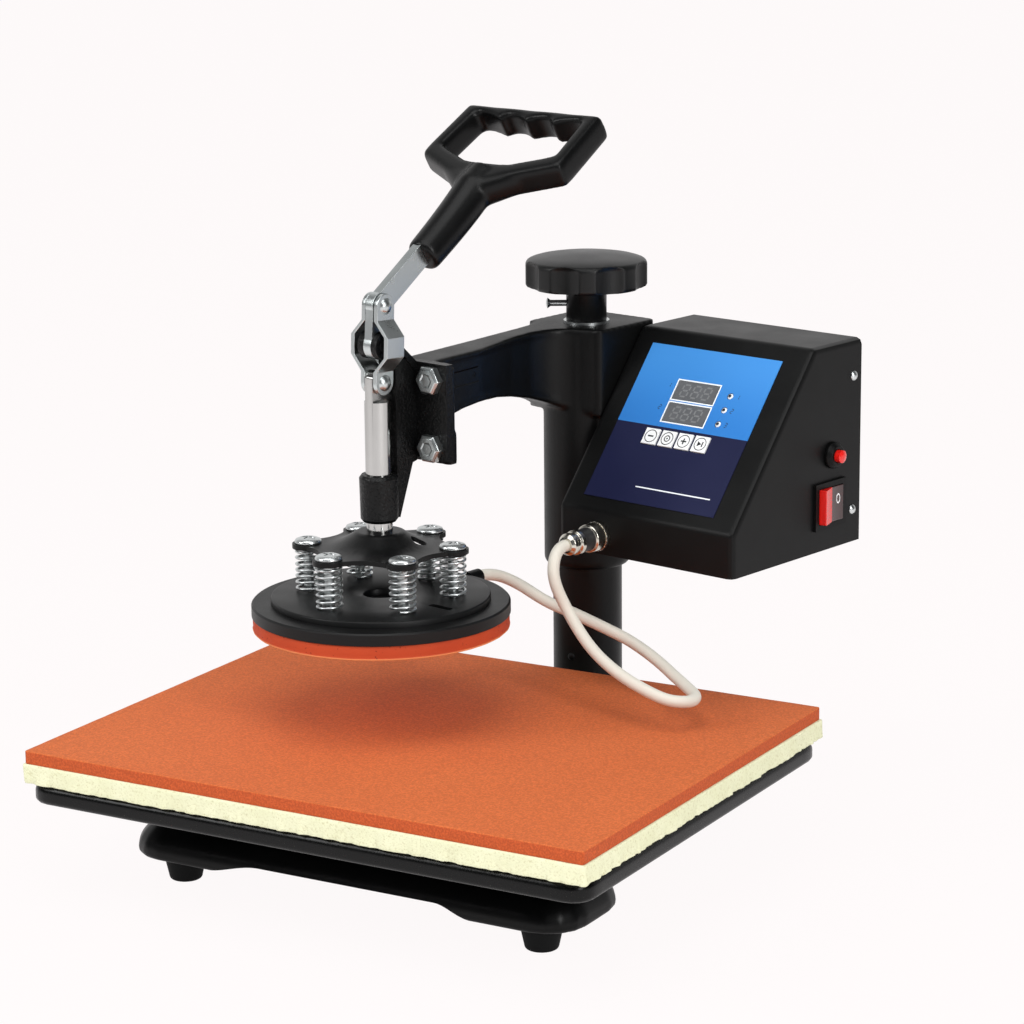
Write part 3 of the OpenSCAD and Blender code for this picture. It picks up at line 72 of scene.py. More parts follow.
# %% Frames of the arm, the heater and the control panel
MM = 0.001
SWING = math.radians(11)
REACH = 197.0
MAT_TOP = 93.0
post_low, post_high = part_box("post")
POST_AXIS = (np.array(post_low) + np.array(post_high)) / 2 / MM
ARM_TURN = np.array([[math.cos(SWING), -math.sin(SWING), 0],
                     [math.sin(SWING), math.cos(SWING), 0], [0, 0, 1]])
BOX_CORNER = np.array([28.5, -62.5, 206.744])
PANEL_TILT = math.radians(51.0)
PANEL_TURN = np.array([[1, 0, 0], [0, math.cos(PANEL_TILT), math.sin(PANEL_TILT)],
                       [0, -math.sin(PANEL_TILT), math.cos(PANEL_TILT)]])


def on_arm(points):
    """Arm to press: the row vector (u, v, z) times the swing, moved to the post's axis, in metres."""
    return (np.asarray(points, float) @ ARM_TURN + [POST_AXIS[0], POST_AXIS[1], 0]) * MM


def on_press(points):
    """As on_arm, with v counted from the plunger's axis."""
    return on_arm(np.asarray(points, float) - [0, REACH, 0])


def on_panel(points):
    """Panel to press: x runs right and y up the slope from the panel's lower left corner, z out of it."""
    return on_arm(np.asarray(points, float) @ PANEL_TURN + BOX_CORNER)


PANEL_AT = on_panel([0, 0, 0])
print("post axis:", POST_AXIS.round(2), "panel corner:", PANEL_AT.round(4))

# %% [markdown]
# ## The camera
# The camera stands where the photographer stood: about two metres away, thirty degrees to the right and
# fourteen degrees up, with a long lens, so that the board's edges run almost parallel.

# %% Camera
PICTURE = 1024
FOCAL_PIXELS = 3344.83
SENSOR = 36.0
YAW, PITCH, ROLL = (math.radians(a) for a in (29.985, 13.578, -0.5395))
CAMERA_AT = (1.0155, -1.7124, 0.6969)


def view_axes():
    """Right, up and back of the camera: level axes at yaw and pitch, rolled about the back axis."""
    back = np.array([math.sin(YAW) * math.cos(PITCH), -math.cos(YAW) * math.cos(PITCH), math.sin(PITCH)])
    level = np.array([math.cos(YAW), math.sin(YAW), 0])
    upright = np.cross(back, level)
    right = math.cos(ROLL) * level + math.sin(ROLL) * upright
    return right, np.cross(back, right), back


camera = bpy.data.objects.new("camera", bpy.data.cameras.new("camera"))
camera.data.sensor_width = SENSOR
camera.data.lens = FOCAL_PIXELS * SENSOR / PICTURE
turn = np.stack(view_axes(), axis=1)
camera.matrix_world = Matrix.Translation(CAMERA_AT) @ Matrix(turn.tolist()).to_4x4()
bpy.context.scene.collection.objects.link(camera)
bpy.context.scene.camera = camera
print("lens:", round(camera.data.lens, 2), "mm")

# %% [markdown]
# ## Surfaces from arrays
# A piece is a grid of points: a profile carried along a path, or a function of two parameters. The grid's
# quads become a mesh in one go. A closed surface repeats its first column or ends in a row of equal points,
# and merging the doubles closes the seam.


# %% Grids into meshes
def quads(rows, columns):
    """Corner numbers of a grid's quads: (i, j), (i, j+1), (i+1, j+1), (i+1, j)."""
    i, j = np.meshgrid(np.arange(rows - 1), np.arange(columns - 1), indexing="ij")
    corner = i * columns + j
    return np.stack([corner, corner + 1, corner + columns + 1, corner + columns], -1).reshape(-1, 4)


def new_object(name, points, faces):
    """One mesh from points and faces, with its doubles merged and its faces turned outwards."""
    mesh = bpy.data.meshes.new(name)
    mesh.from_pydata(points.tolist(), [], faces.tolist())
    work = bmesh.new()
    work.from_mesh(mesh)
    bmesh.ops.remove_doubles(work, verts=work.verts, dist=1e-6)
    bmesh.ops.dissolve_degenerate(work, edges=work.edges, dist=1e-7)
    bmesh.ops.recalc_face_normals(work, faces=work.faces)
    work.to_mesh(mesh)
    work.free()
    made = bpy.data.objects.new(name, mesh)
    bpy.context.scene.collection.objects.link(made)
    return made


def skin(name, grids, sharp=40):
    """Joins grids of points (rows, columns, 3) in metres into one object, smooth below the sharp angle."""
    faces, points, start = [], [], 0
    for grid in grids:
        rows, columns = grid.shape[:2]
        faces.append(quads(rows, columns) + start)
        points.append(grid.reshape(-1, 3))
        start += rows * columns
    made = new_object(name, np.concatenate(points), np.concatenate(faces))
    made.data.shade_smooth()
    made.data.set_sharp_from_angle(angle=math.radians(sharp))
    return made


def capped(rings):
    """Rings (n, sides, 3) closed at both ends by a row at the first and last ring's middle."""
    ends = [np.repeat(ring[:-1].mean(0)[None, None], rings.shape[1], 1) for ring in (rings[0], rings[-1])]
    return np.concatenate([ends[0], rings, ends[1]])


def frames_along(path):
    """Side and up at each point: the side is carried on and kept square to the path's tangent."""
    tangent = np.gradient(path, axis=0)
    tangent /= np.linalg.norm(tangent, axis=1, keepdims=True)
    side = np.cross(tangent[0], [0.31, 0.17, 0.94])
    sides = []
    for t in tangent:
        side = side - t * (side @ t)
        side = side / np.linalg.norm(side)
        sides.append(side)
    sides = np.array(sides)
    return sides, np.cross(tangent, sides)


def tube(path, radius, sides):
    """Points path + r (cos a * side + sin a * up): a round profile carried along the path."""
    side, up = frames_along(path)
    a = np.linspace(0, 2 * np.pi, sides + 1)[None, :, None]
    return path[:, None] + radius * (np.cos(a) * side[:, None] + np.sin(a) * up[:, None])


def lathe(profile, sides):
    """Points (r cos a, r sin a, z) for each (r, z) of a profile."""
    r, z = np.asarray(profile, float).T
    a = np.linspace(0, 2 * np.pi, sides + 1)
    return np.stack([np.outer(r, np.cos(a)), np.outer(r, np.sin(a)), np.repeat(z[:, None], sides + 1, 1)], -1)


# %% [markdown]
# ## The heater's cable
# A white sleeved cable leaves the plug on the control box, hangs in a loop over the board and climbs to the
# heater's rim behind the arm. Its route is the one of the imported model; here a smooth curve goes through
# its points, and a little averaging takes out the last kinks, as the stiff sleeve does.

# %% Cable
CABLE_D, CABLE_SIDES = 7.4, 20
PLUG_END = [61.5, -95.5, 98.0]
CABLE_FREE = [
    [61.5, -99.5, 98], [62, -104.5, 96], [63.5, -109, 91], [65, -111.5, 84], [67, -111, 76],
    [69.5, -108.5, 67.5], [73.5, -106.5, 59], [80, -106.5, 51], [89, -108, 43.5], [100, -110.5, 37.5],
    [113, -112.5, 32], [126, -113.5, 27.5], [138, -113.5, 24], [148, -113, 21.5], [156, -110.5, 19.5],
    [161, -105, 18.5], [162.5, -97.5, 17.5], [159.5, -90, 17.5], [153, -84, 17.5], [145, -79, 18],
    [136, -74, 19], [125, -68.5, 20.5], [112, -63, 23.5], [97, -59.5, 28], [82, -59.5, 33.5],
    [69, -63, 38.5], [58, -68, 43.5], [47.5, -73.5, 48.5], [37, -79.5, 53], [27, -82.5, 57.5],
    [17.5, -83.5, 61.5], [9, -86.5, 65.5], [2.8, -92.5, 69]]
ELBOW_DIR, ELBOW_HALF, ELBOW_LEAD = np.array([0.0, 1.0, 0.0]), 5.8, 0.75
ELBOW_MID = np.array([0, 84.3 - REACH, 163.75 - MAT_TOP])
CABLE_END = ELBOW_MID + ELBOW_HALF * ELBOW_DIR


def through(points, per_span):
    """Catmull-Rom curve: on each span a cubic with the slopes (next - previous) / 2 at its ends."""
    p = np.asarray(points, float)
    slope = np.gradient(p, axis=0)
    t = np.linspace(0, 1, per_span, endpoint=False)[None, :, None]
    a, b, sa, sb = (x[:, None] for x in (p[:-1], p[1:], slope[:-1], slope[1:]))
    curve = ((2 * t**3 - 3 * t**2 + 1) * a + (t**3 - 2 * t**2 + t) * sa
             + (3 * t**2 - 2 * t**3) * b + (t**3 - t**2) * sb)
    return np.concatenate([curve.reshape(-1, 3), p[-1:]])


def even(path, step):
    """The same line with its points at equal distances along it."""
    along = np.concatenate([[0], np.cumsum(np.linalg.norm(np.diff(path, axis=0), axis=1))])
    at = np.linspace(0, along[-1], int(along[-1] / step) + 1)
    return np.stack([np.interp(at, along, c) for c in path.T], -1)


def relaxed(path, passes):
    """Each point moves half way to the middle of its neighbours; two points at each end stay."""
    for _ in range(passes):
        path[2:-2] = 0.5 * path[2:-2] + 0.25 * (path[1:-3] + path[3:-1])
    return path


route = [PLUG_END, *CABLE_FREE, (CABLE_END + ELBOW_LEAD * CABLE_D * ELBOW_DIR).tolist(), CABLE_END.tolist()]
cable_line = relaxed(even(through(route, 12), 1.6), 9) + [0, 0, MAT_TOP]
cable_path = on_arm(cable_line)
cable = skin("cable", [capped(tube(cable_path, CABLE_D / 2 * MM, CABLE_SIDES))])
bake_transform(cable)
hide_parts("heater_cable")

# %% [markdown]
# ## The board: foam and mat
# A pale foam sheet lies on the tray and an orange silicone mat on the foam. Both are cut from sheet, so their
# edges are square but not sharp. The foam's cut is a bit wavy and its lower edge is torn into small lumps.
# The shape is a loop round the board, carried up the height, and drawn in to the middle on both faces.


# %% Cut sheets
def loop_of(width, depth, corner, step):
    """Points and outward normals round a rectangle with rounded corners, about one step apart."""
    hx, hy = width / 2 - corner, depth / 2 - corner
    runs = []
    corners = [(hx, hy, 2 * hx), (-hx, hy, 2 * hy), (-hx, -hy, 2 * hx), (hx, -hy, 2 * hy)]
    for k, (cx, cy, length) in enumerate(corners):
        a = np.linspace(k, k + 1, 5) * np.pi / 2
        arc = np.stack([cx + corner * np.cos(a), cy + corner * np.sin(a), np.cos(a), np.sin(a)], -1)
        t = np.linspace(0, 1, int(length / step) + 1)[1:-1, None]
        way = np.array([[-1, 0], [0, -1], [1, 0], [0, 1]][k])
        normal = np.tile([np.cos(a[-1]), np.sin(a[-1])], (len(t), 1))
        runs += [arc, np.concatenate([arc[-1, :2] + t * length * way, normal], 1)]
    loop = np.concatenate([*runs, runs[0][:1]])
    return loop[:, :2], loop[:, 2:]


def lumps(along, scale, seed):
    """Smooth noise along a closed line: random heights at every scale, joined by cosine steps."""
    count = max(int(along[-1] / scale), 4)
    heights = np.random.default_rng(seed).uniform(-1, 1, count)
    x = along / along[-1] * count
    i = np.floor(x).astype(int)
    w = 0.5 - 0.5 * np.cos(np.pi * (x - i))
    return heights[i % count] * (1 - w) + heights[(i + 1) % count] * w


def sheet_grid(width, depth, corner, low, high, edge, step, push):
    """Loop points + normal * (profile + push) at each height; the faces shrink the loop to its middle."""
    points, normals = loop_of(width, depth, corner, step)
    along = np.concatenate([[0], np.cumsum(np.linalg.norm(np.diff(points, axis=0), axis=1))])
    a = np.linspace(0, np.pi / 2, 4)
    heights = np.concatenate([low + edge * (1 - np.cos(a)), np.linspace(low + edge, high - edge, 7)[1:-1],
                              high - edge + edge * np.sin(a)])
    inset = np.concatenate([edge * (1 - np.sin(a)), np.zeros(5), edge * (1 - np.cos(a))])
    out = push(along, (heights - low) / (high - low)) - inset[:, None]
    rim = points[None] + normals[None] * out[..., None]
    wall = np.concatenate([rim, np.broadcast_to(heights[:, None, None], (*rim.shape[:2], 1))], -1)
    share = np.array([0, 0.25, 0.5, 0.75, 0.9, 0.97])[:, None, None]
    faces = [wall[k][None] * [1, 1, 0] * share + [0, 0, heights[k]] for k in (0, -1)]
    return np.concatenate([faces[0], wall, faces[1][::-1]])


def straight_cut(along, height):
    """A clean cut that wanders by a tenth of a millimetre."""
    return np.repeat(0.1 * lumps(along, 9, 3)[None], len(height), 0)


def torn_cut(along, height):
    """A wavy cut: a slow wave, and lumps that grow towards the lower edge."""
    wave = 0.35 * lumps(along, 24, 5) + 0.2 * lumps(along, 7, 6)
    torn = 0.75 * lumps(along, 3.4, 7) + 0.4 * lumps(along, 1.9, 8)
    return wave[None] + (1 - height[:, None]) ** 2 * torn[None] - 0.25


def board_piece(name, node, grid, body):
    """A sheet centred over its CAD solid, in its place and on its body."""
    low, high = (np.array(c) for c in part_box(node))
    middle = np.array([*(low + high)[:2] / 2, 0])
    made = skin(name, [grid * MM + middle], sharp=60)
    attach(made, body)
    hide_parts(node)
    print(name, "vertices:", len(made.data.vertices))
    return made


foam = board_piece("foam", "foam_pad", sheet_grid(383, 308, 2, 73, 85, 0.9, 1.1, torn_cut), "base")
mat = board_piece("mat", "silicone_mat", sheet_grid(380, 305, 1.5, 85, 93, 0.5, 2.5, straight_cut), "base")

# %% [markdown]
# ## The heater's pad
# The pad is a disc of the same silicone, moulded: its side is a bit rough, and a pale line painted along the
# lower rim stands for the highlight on its small lip. It is a lathe shape whose radius wanders slightly.

# %% Pad
PAD_R, PAD_LOW, PAD_HIGH = 78.5, 151.0, 160.0


def pad_grid():
    """Lathe profile with a small lip at the lower rim; the radius gets 0.12 mm of noise round the side."""
    profile = [[0, PAD_LOW + 0.15], [40, PAD_LOW + 0.1], [70, PAD_LOW + 0.05], [76.6, PAD_LOW],
               [77.9, PAD_LOW + 0.15], [78.4, PAD_LOW + 0.6], [78.5, PAD_LOW + 1.0], [78.1, PAD_LOW + 1.3],
               [78.0, PAD_LOW + 1.7], [78.2, PAD_LOW + 3.4], [78.2, PAD_HIGH - 1], [78.0, PAD_HIGH - 0.3],
               [77.4, PAD_HIGH], [0, PAD_HIGH]]
    grid = lathe(profile, 256)
    around = np.linspace(0, 2 * np.pi * PAD_R, grid.shape[1])
    wander = 1 + 0.0015 * lumps(around, 5, 11) * (np.asarray(profile)[:, :1] > 77)
    return grid * np.stack([wander, wander, np.ones_like(wander)], -1)


pad = skin("pad", [on_press(pad_grid())], sharp=50)
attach(pad, "heater")
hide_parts("heater_pad")
print("pad vertices:", len(pad.data.vertices))

# %% [markdown]
# ## The springs
# Six compression springs stand on the heater's cover round its screws. Each is one wire: the pitch is
# closed over the first and last turn, so the ends lie flat.

# %% Springs
SPRING_PCD, SPRING_D, WIRE_D, SPRING_LOW, SPRING_HIGH = 90.0, 16.6, 1.8, 171.5, 198.5
TURNS, CLOSED = 7.0, 0.75
SCREW_ANGLES = np.radians(np.arange(30, 360, 60))


def spring_line():
    """Helix: the angle runs evenly; the height stays near the ends for most of the first and last turn."""
    turn = np.linspace(0, 1, 241) * TURNS
    rise = np.clip((turn - CLOSED) / (TURNS - 2 * CLOSED), 0, 1)
    ends = np.clip(turn / CLOSED, 0, 1) + np.clip((turn - TURNS + CLOSED) / CLOSED, 0, 1)
    span = SPRING_HIGH - SPRING_LOW - WIRE_D - 1.8 * WIRE_D
    height = SPRING_LOW + WIRE_D / 2 + 0.9 * WIRE_D * ends + span * (rise + 0.02 * np.sin(2 * np.pi * rise))
    r = (SPRING_D - WIRE_D) / 2
    a = 2 * np.pi * turn
    return np.stack([r * np.cos(a), r * np.sin(a), height], -1)


def spring_grids():
    """The wire's tube, turned and moved to each screw on the pitch circle."""
    wire = capped(tube(spring_line(), WIRE_D / 2, 10))
    grids = []
    for angle in SCREW_ANGLES:
        c, s = math.cos(2 * angle), math.sin(2 * angle)
        turned = wire @ np.array([[c, s, 0], [-s, c, 0], [0, 0, 1]])
        grids.append(on_press(turned + np.array([math.cos(angle), math.sin(angle), 0]) * SPRING_PCD / 2))
    return grids


springs = skin("springs", spring_grids(), sharp=70)
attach(springs, "plunger")
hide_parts("heater_springs")
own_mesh(springs)
print("spring quads:", len(springs.data.polygons))

# %% [markdown]
# ## Softer edges
# No cast or folded edge is truly sharp, and a thin highlight along it tells the eye how big the press is.
# A chain of modifiers does that on the rigid pieces and leaves their meshes as they are: weld the loose
# triangles, merge flat neighbours, bevel the sharp edges, and let the large faces lead the shading.


# %% Rounding of rigid pieces
def smooth_all_group():
    """A node group that marks every face smooth."""
    group = bpy.data.node_groups.new("all_smooth", "GeometryNodeTree")
    group.interface.new_socket("Geometry", in_out="INPUT", socket_type="NodeSocketGeometry")
    group.interface.new_socket("Geometry", in_out="OUTPUT", socket_type="NodeSocketGeometry")
    start, end = group.nodes.new("NodeGroupInput"), group.nodes.new("NodeGroupOutput")
    shade = group.nodes.new("GeometryNodeSetShadeSmooth")
    group.links.new(start.outputs[0], shade.inputs["Geometry"])
    group.links.new(shade.outputs[0], end.inputs[0])
    return group


ALL_SMOOTH = smooth_all_group()
BEVEL_ANGLE, FLAT_ANGLE = math.radians(32), math.radians(0.4)


def soften(node, width):
    """Rounds a rigid piece's edges above the bevel angle by a width in millimetres."""
    piece = NODES[node]
    piece.modifiers.new("weld", "WELD").merge_threshold = 2e-6
    flat = piece.modifiers.new("flat", "DECIMATE")
    flat.decimate_type, flat.angle_limit = "DISSOLVE", FLAT_ANGLE
    bevel = piece.modifiers.new("bevel", "BEVEL")
    bevel.limit_method, bevel.angle_limit = "ANGLE", BEVEL_ANGLE
    bevel.width, bevel.segments, bevel.use_clamp_overlap = width * MM, 2, True
    piece.modifiers.new("smooth", "NODES").node_group = ALL_SMOOTH
    lead = piece.modifiers.new("lead", "WEIGHTED_NORMAL")
    lead.mode, lead.weight, lead.keep_sharp = "FACE_AREA", 60, False


ROUNDED = {
    1.8: ["box_cover"],
    0.8: ["toggle_bracket"],
    0.7: ["lever_bar"],
    0.6: ["power_rocker", "rubber_feet"],
    0.5: ["spider_plate", "link_left", "link_right", "switch_housing"],
    0.4: ["box_base", "heater_disc", "post", "breaker_body", "plunger_shaft", "tray_risers"],
    0.3: ["minus_key", "mode_key", "plus_key", "enter_key"],
    0.25: ["cable_plug"],
    0.2: ["cable_socket", "knob_screw", "box_screws"],
}
for width, names in ROUNDED.items():
    for node in names:
        soften(node, width)
print("rounded pieces:", sum(len(names) for names in ROUNDED.values()))

# %% [markdown]
# ## The grip
# The lever's grip is one moulding: a round neck that forks into a flat D with finger grooves. The D is a
# ring: rays from its middle meet an outer and an inner outline, and a rounded section spans the two. Ring,
# neck and fork overlap, a voxel remesh makes them one skin, and smoothing runs them into each other as a
# mould does. Last, a sharp pocket for the lever's bar is cut into the neck's mouth.

# %% Grip
LEVER_TILT, LOOP_TILT = math.radians(34), math.radians(31)
LEVER_LEN, MOUTH_AT, NECK_D, NECK_DROP = 105.0, 46.0, 24.0, 2.5
LOOP_T, LOOP_MIDDLE, LOOP_FAR = 18.0, 42.0, 64.5
GROOVE_PITCH, GROOVE_DEEP, GROOVE_RISE = 24.0, 5.0, 3.5
FORK_X, FORK_Y, FORK_SINK = 34.0, 17.5, 0.8
LOOP_OUTER = [[12, 2], [56.2, 22], [54, 72.6]]
LOOP_INNER = [[17, 19.5], [45.5, 31.5], [43, LOOP_FAR]]
RIVET_TOP = np.array([0, 2.092, 348.953])


def tilt_matrix(angle):
    """Rows that turn y towards z by an angle."""
    c, s = math.cos(angle), math.sin(angle)
    return np.array([[1, 0, 0], [0, c, s], [0, -s, c]])


YOKE = RIVET_TOP + np.array([0, LEVER_LEN, 0]) @ tilt_matrix(LEVER_TILT)


def on_loop(points):
    """Loop to press: x across, y from the yoke to the far side, z through the loop's thickness."""
    return on_press(np.asarray(points, float) @ tilt_matrix(LOOP_TILT) + YOKE)


def reach(half_outline, way):
    """How far rays from the loop's middle go to a convex outline: the smallest gap / slope over its sides."""
    half = np.asarray(half_outline, float)
    outline = np.concatenate([half, half[::-1] * [-1, 1]]) - [0, LOOP_MIDDLE]
    side = np.roll(outline, -1, axis=0) - outline
    normal = np.stack([side[:, 1], -side[:, 0]], -1)
    gap = (normal * outline).sum(1)
    slope = way @ normal.T
    return np.where(slope > 1e-9, gap / np.maximum(slope, 1e-9), np.inf).min(1)


def rounded_box(count, power):
    """Points of |x|^p + |z|^p = 1."""
    a = np.linspace(0, 2 * np.pi, count + 1)
    return [np.sign(f) * np.abs(f) ** (2 / power) for f in (np.cos(a), np.sin(a))]


def grip_ring():
    """Between the outlines: middle + x * half width along the ray, z * half depth; grooves follow |sin|."""
    a = np.linspace(0, 2 * np.pi, 481)
    way = np.stack([np.cos(a), np.sin(a)], -1)
    outer, inner = reach(LOOP_OUTER, way), reach(LOOP_INNER, way)
    x, y = inner * way[:, 0], inner * way[:, 1]
    groove = GROOVE_DEEP * np.abs(np.sin(np.pi * x / GROOVE_PITCH)) - GROOVE_RISE
    groove = groove * (y > LOOP_FAR - LOOP_MIDDLE - 0.01)
    inner = inner * (1 + groove / np.maximum(y, 1))
    across, upright = rounded_box(40, 4.5)
    r = (outer + inner)[:, None] / 2 + (outer - inner)[:, None] / 2 * across
    flat = r[..., None] * way[:, None] + [0, LOOP_MIDDLE]
    deep = np.broadcast_to(LOOP_T / 2 * upright, r.shape)[..., None]
    return on_loop(np.concatenate([flat, deep], -1))


def on_lever(points):
    """Lever to press: y from the link rivet along the bar."""
    return on_press(np.asarray(points, float) @ tilt_matrix(LEVER_TILT) + RIVET_TOP)


def grip_neck():
    """Round tube from the neck's mouth to the yoke, rounded at the mouth and drawn flat into the fork."""
    y = np.linspace(MOUTH_AT, LEVER_LEN + 15, 48)
    t = (y - MOUTH_AT) / (LEVER_LEN - MOUTH_AT)
    r = NECK_D / 2 - 0.9 + 1.4 * t - 1.2 * np.exp(-t / 0.012) - 4.0 * np.clip(t - 1.02, 0, 1) ** 0.7
    drop = -NECK_DROP * (1 - np.clip(t, 0, 1) ** 3)
    a = np.linspace(0, 2 * np.pi, 41)
    ring = np.stack([np.outer(r, np.cos(a)), np.repeat(y[:, None], len(a), 1),
                     np.outer(r, np.sin(a)) + drop[:, None]], -1)
    return on_lever(capped(ring))


def grip_forks():
    """Two short round bars that flare from the neck into the ring's shoulders."""
    across, upright = rounded_box(32, 2.4)
    t = np.linspace(0, 1, 20)[:, None]
    wide, deep = 10.5 - 6.5 * t, 10.8 - 3.2 * t
    forks = []
    for s in (-1, 1):
        line = np.array([0, 0, -FORK_SINK]) + t * np.array([s * FORK_X, FORK_Y, FORK_SINK])
        side = np.array([FORK_Y, -s * FORK_X, 0]) / math.hypot(FORK_X, FORK_Y)
        ring = line[:, None] + (wide * across)[..., None] * side
        forks.append(on_loop(capped(ring + (deep * upright)[..., None] * np.array([0, 0, 1]))))
    return forks


def bar_pocket():
    """The pocket for the lever bar: a sharp-edged box inside the neck's mouth."""
    wide, ends, deep = (-3.2, 3.2), (MOUTH_AT - 4, LEVER_LEN - 11.9), (-7.2, 7.2)
    box = np.array([[x, y, z] for x in wide for y in ends for z in deep])
    faces = np.array([[0, 1, 3, 2], [4, 6, 7, 5], [0, 4, 5, 1], [2, 3, 7, 6], [0, 2, 6, 4], [1, 5, 7, 3]])
    return new_object("pocket", on_lever(box), faces)


print("grip outline reaches", LOOP_OUTER[-1][1], "mm from the yoke")


# %% Fusing and cutting
def applied(piece):
    """The piece's mesh with its modifiers worked in, shaded smooth."""
    shape = bpy.data.meshes.new_from_object(piece.evaluated_get(bpy.context.evaluated_depsgraph_get()))
    piece.modifiers.clear()
    piece.data = shape
    shape.shade_smooth()
    return shape


def fuse(name, grids, voxel, passes):
    """Voxel remesh of overlapping skins into one, then smoothing; both are applied to the mesh."""
    made = skin(name, grids)
    remesh = made.modifiers.new("fuse", "REMESH")
    remesh.mode, remesh.voxel_size = "VOXEL", voxel * MM
    smooth = made.modifiers.new("smooth", "SMOOTH")
    smooth.factor, smooth.iterations = 0.5, passes
    applied(made)
    return made


def cut_out(piece, tool):
    """Takes a closed tool out of a piece with an exact boolean; edges above 50 degrees stay sharp."""
    cutter = piece.modifiers.new("cut", "BOOLEAN")
    cutter.object, cutter.solver = tool, "EXACT"
    shape = applied(piece)
    bpy.data.objects.remove(tool)
    shape.set_sharp_from_angle(angle=math.radians(50))


grip = fuse("grip", [grip_ring(), grip_neck(), *grip_forks()], 0.8, 44)
cut_out(grip, bar_pocket())
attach(grip, "lever")
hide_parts("lever_grip")
print("grip faces:", len(grip.data.polygons))

# %% [markdown]
# ## The arm's casting
# The arm is one casting: a sleeve round the post, a block on top of it, and a thin beam that leaves the
# block's left half and sweeps out of its front in one long curve. The beam is a section carried from the end
# plate to the block: smooth curves give its near side, its far side and its depth. Overlapping skins are
# fused as for the grip, and the post's bore and the small pocket are cut out afterwards.

# %% Arm
ARM_TOP, SLEEVE_LOW, SLEEVE_R, BORE_R, SPINDLE_R, ROOF = 311.0, 152.1, 28.0, 22.6, 8.4, 293.0
HEAD = ([-33, -20.5, 255], [28.2, 36, ARM_TOP])
END_PLATE = ([-28, -164, 251], [28, -158, ARM_TOP])
END_FOOT = ([-29.5, -164, 249], [29.5, -158, 270])
BOX_LUG = ([0, -16, 242], [28.2, 24, 258])
POCKET = ([8.2, -146, 291.5], [20, -112, 300.5])
DENT, DENT_EDGE = 1.8, 0.16
BEAM_V = [-162, -150, -130, -112, -92, -71, -50, -38, -30, -25, -22, -20.5]
BEAM_NEAR = [12.5, 12, 11.2, 9.8, 5, -0.5, -2.5, 0, 4.5, 11, 19, 27.5]
BEAM_FAR = [-12.5, -13, -14.5, -16, -17.5, -19.5, -21.5, -23, -24.5, -26.5, -29, -32.5]
BEAM_DEPTH = [44, 38.5, 34.5, 33.4, 34.6, 38.2, 43.2, 47.2, 51, 53.8, 55.2, 56]


def eased(values, at):
    """A line through the values at BEAM_V, averaged over six millimetres to round its corners."""
    spread = np.linspace(-3, 3, 7)
    return np.mean([np.interp(at + d, BEAM_V, values) for d in spread], axis=0)


def beam_grid():
    """At each v a rounded box from far to near side and from the top down; the near side is hollowed."""
    v = np.concatenate([np.linspace(-161, -32, 100), np.linspace(-31, -16, 40)])
    near, far, depth = (eased(values, v)[:, None] for values in (BEAM_NEAR, BEAM_FAR, BEAM_DEPTH))
    across, upright = rounded_box(96, 14.0)
    z = ARM_TOP - depth / 2 * (1 - upright)
    level = (ARM_TOP - z) / depth
    edge = np.clip(level / DENT_EDGE, 0, 1) * np.clip((1 - level) / DENT_EDGE, 0, 1)
    fade = np.clip((v + 152) / 8, 0, 1) * np.clip((-24 - v) / 20, 0, 1)
    dent = DENT * (3 * edge**2 - 2 * edge**3) * fade[:, None] * (across > 0.5)
    u = (near + far) / 2 + (near - far) / 2 * across - dent
    return capped(np.stack([u, np.repeat(v[:, None], u.shape[1], 1), z], -1))


def block_grid(low, high, axis, power=16.0):
    """A rounded rectangle between two corners, carried along one axis."""
    low, high = np.asarray(low, float), np.asarray(high, float)
    p, q = [k for k in range(3) if k != axis]
    a, b = rounded_box(64, power)
    t = np.linspace(0, 1, 12)
    ring = np.zeros((len(t), len(a), 3))
    ring[..., p] = (low[p] + high[p]) / 2 + (high[p] - low[p]) / 2 * a
    ring[..., q] = (low[q] + high[q]) / 2 + (high[q] - low[q]) / 2 * b
    ring[..., axis] = (low[axis] + t * (high[axis] - low[axis]))[:, None]
    return capped(ring)


def sleeve_grid():
    """Closed lathe wall between the bore and the outside, rounded at its lower rim."""
    wall = [[BORE_R, SLEEVE_LOW], [SLEEVE_R - 4, SLEEVE_LOW], [SLEEVE_R - 1.2, SLEEVE_LOW + 1.2],
            [SLEEVE_R, SLEEVE_LOW + 4], [SLEEVE_R, ARM_TOP - 3], [BORE_R, ARM_TOP - 3], [BORE_R, SLEEVE_LOW]]
    return lathe(wall, 96)


casting = fuse("arm_casting", [on_arm(g) for g in (
    beam_grid(), sleeve_grid(), block_grid(*HEAD, 2), block_grid(*END_PLATE, 1), block_grid(*END_FOOT, 1),
    block_grid(*BOX_LUG, 2))], 1.15, 4)
bore = capped(lathe([[BORE_R, 140], [BORE_R, ROOF], [SPINDLE_R, ROOF + 0.01], [SPINDLE_R, 330]], 96))
holes = [capped(lathe([[1.6, 3], [1.6, 20]], 24))[..., [2, 0, 1]] + [0, v, 296] for v in (-140, -119)]
cut_out(casting, skin("cutter", [on_arm(g) for g in (bore, block_grid(*POCKET, 0, 24.0), *holes)]))
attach(casting, "arm")
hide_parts("swing_arm")
print("arm faces:", len(casting.data.polygons))

# %% [markdown]
# ## The board's tray
# The tray is a sheet pan, open below. One outline is carried along the sheet's section: down the inner wall,
# round the curled lower rim, up the outer wall and over the rolled top edge. A slit is cut into each side.

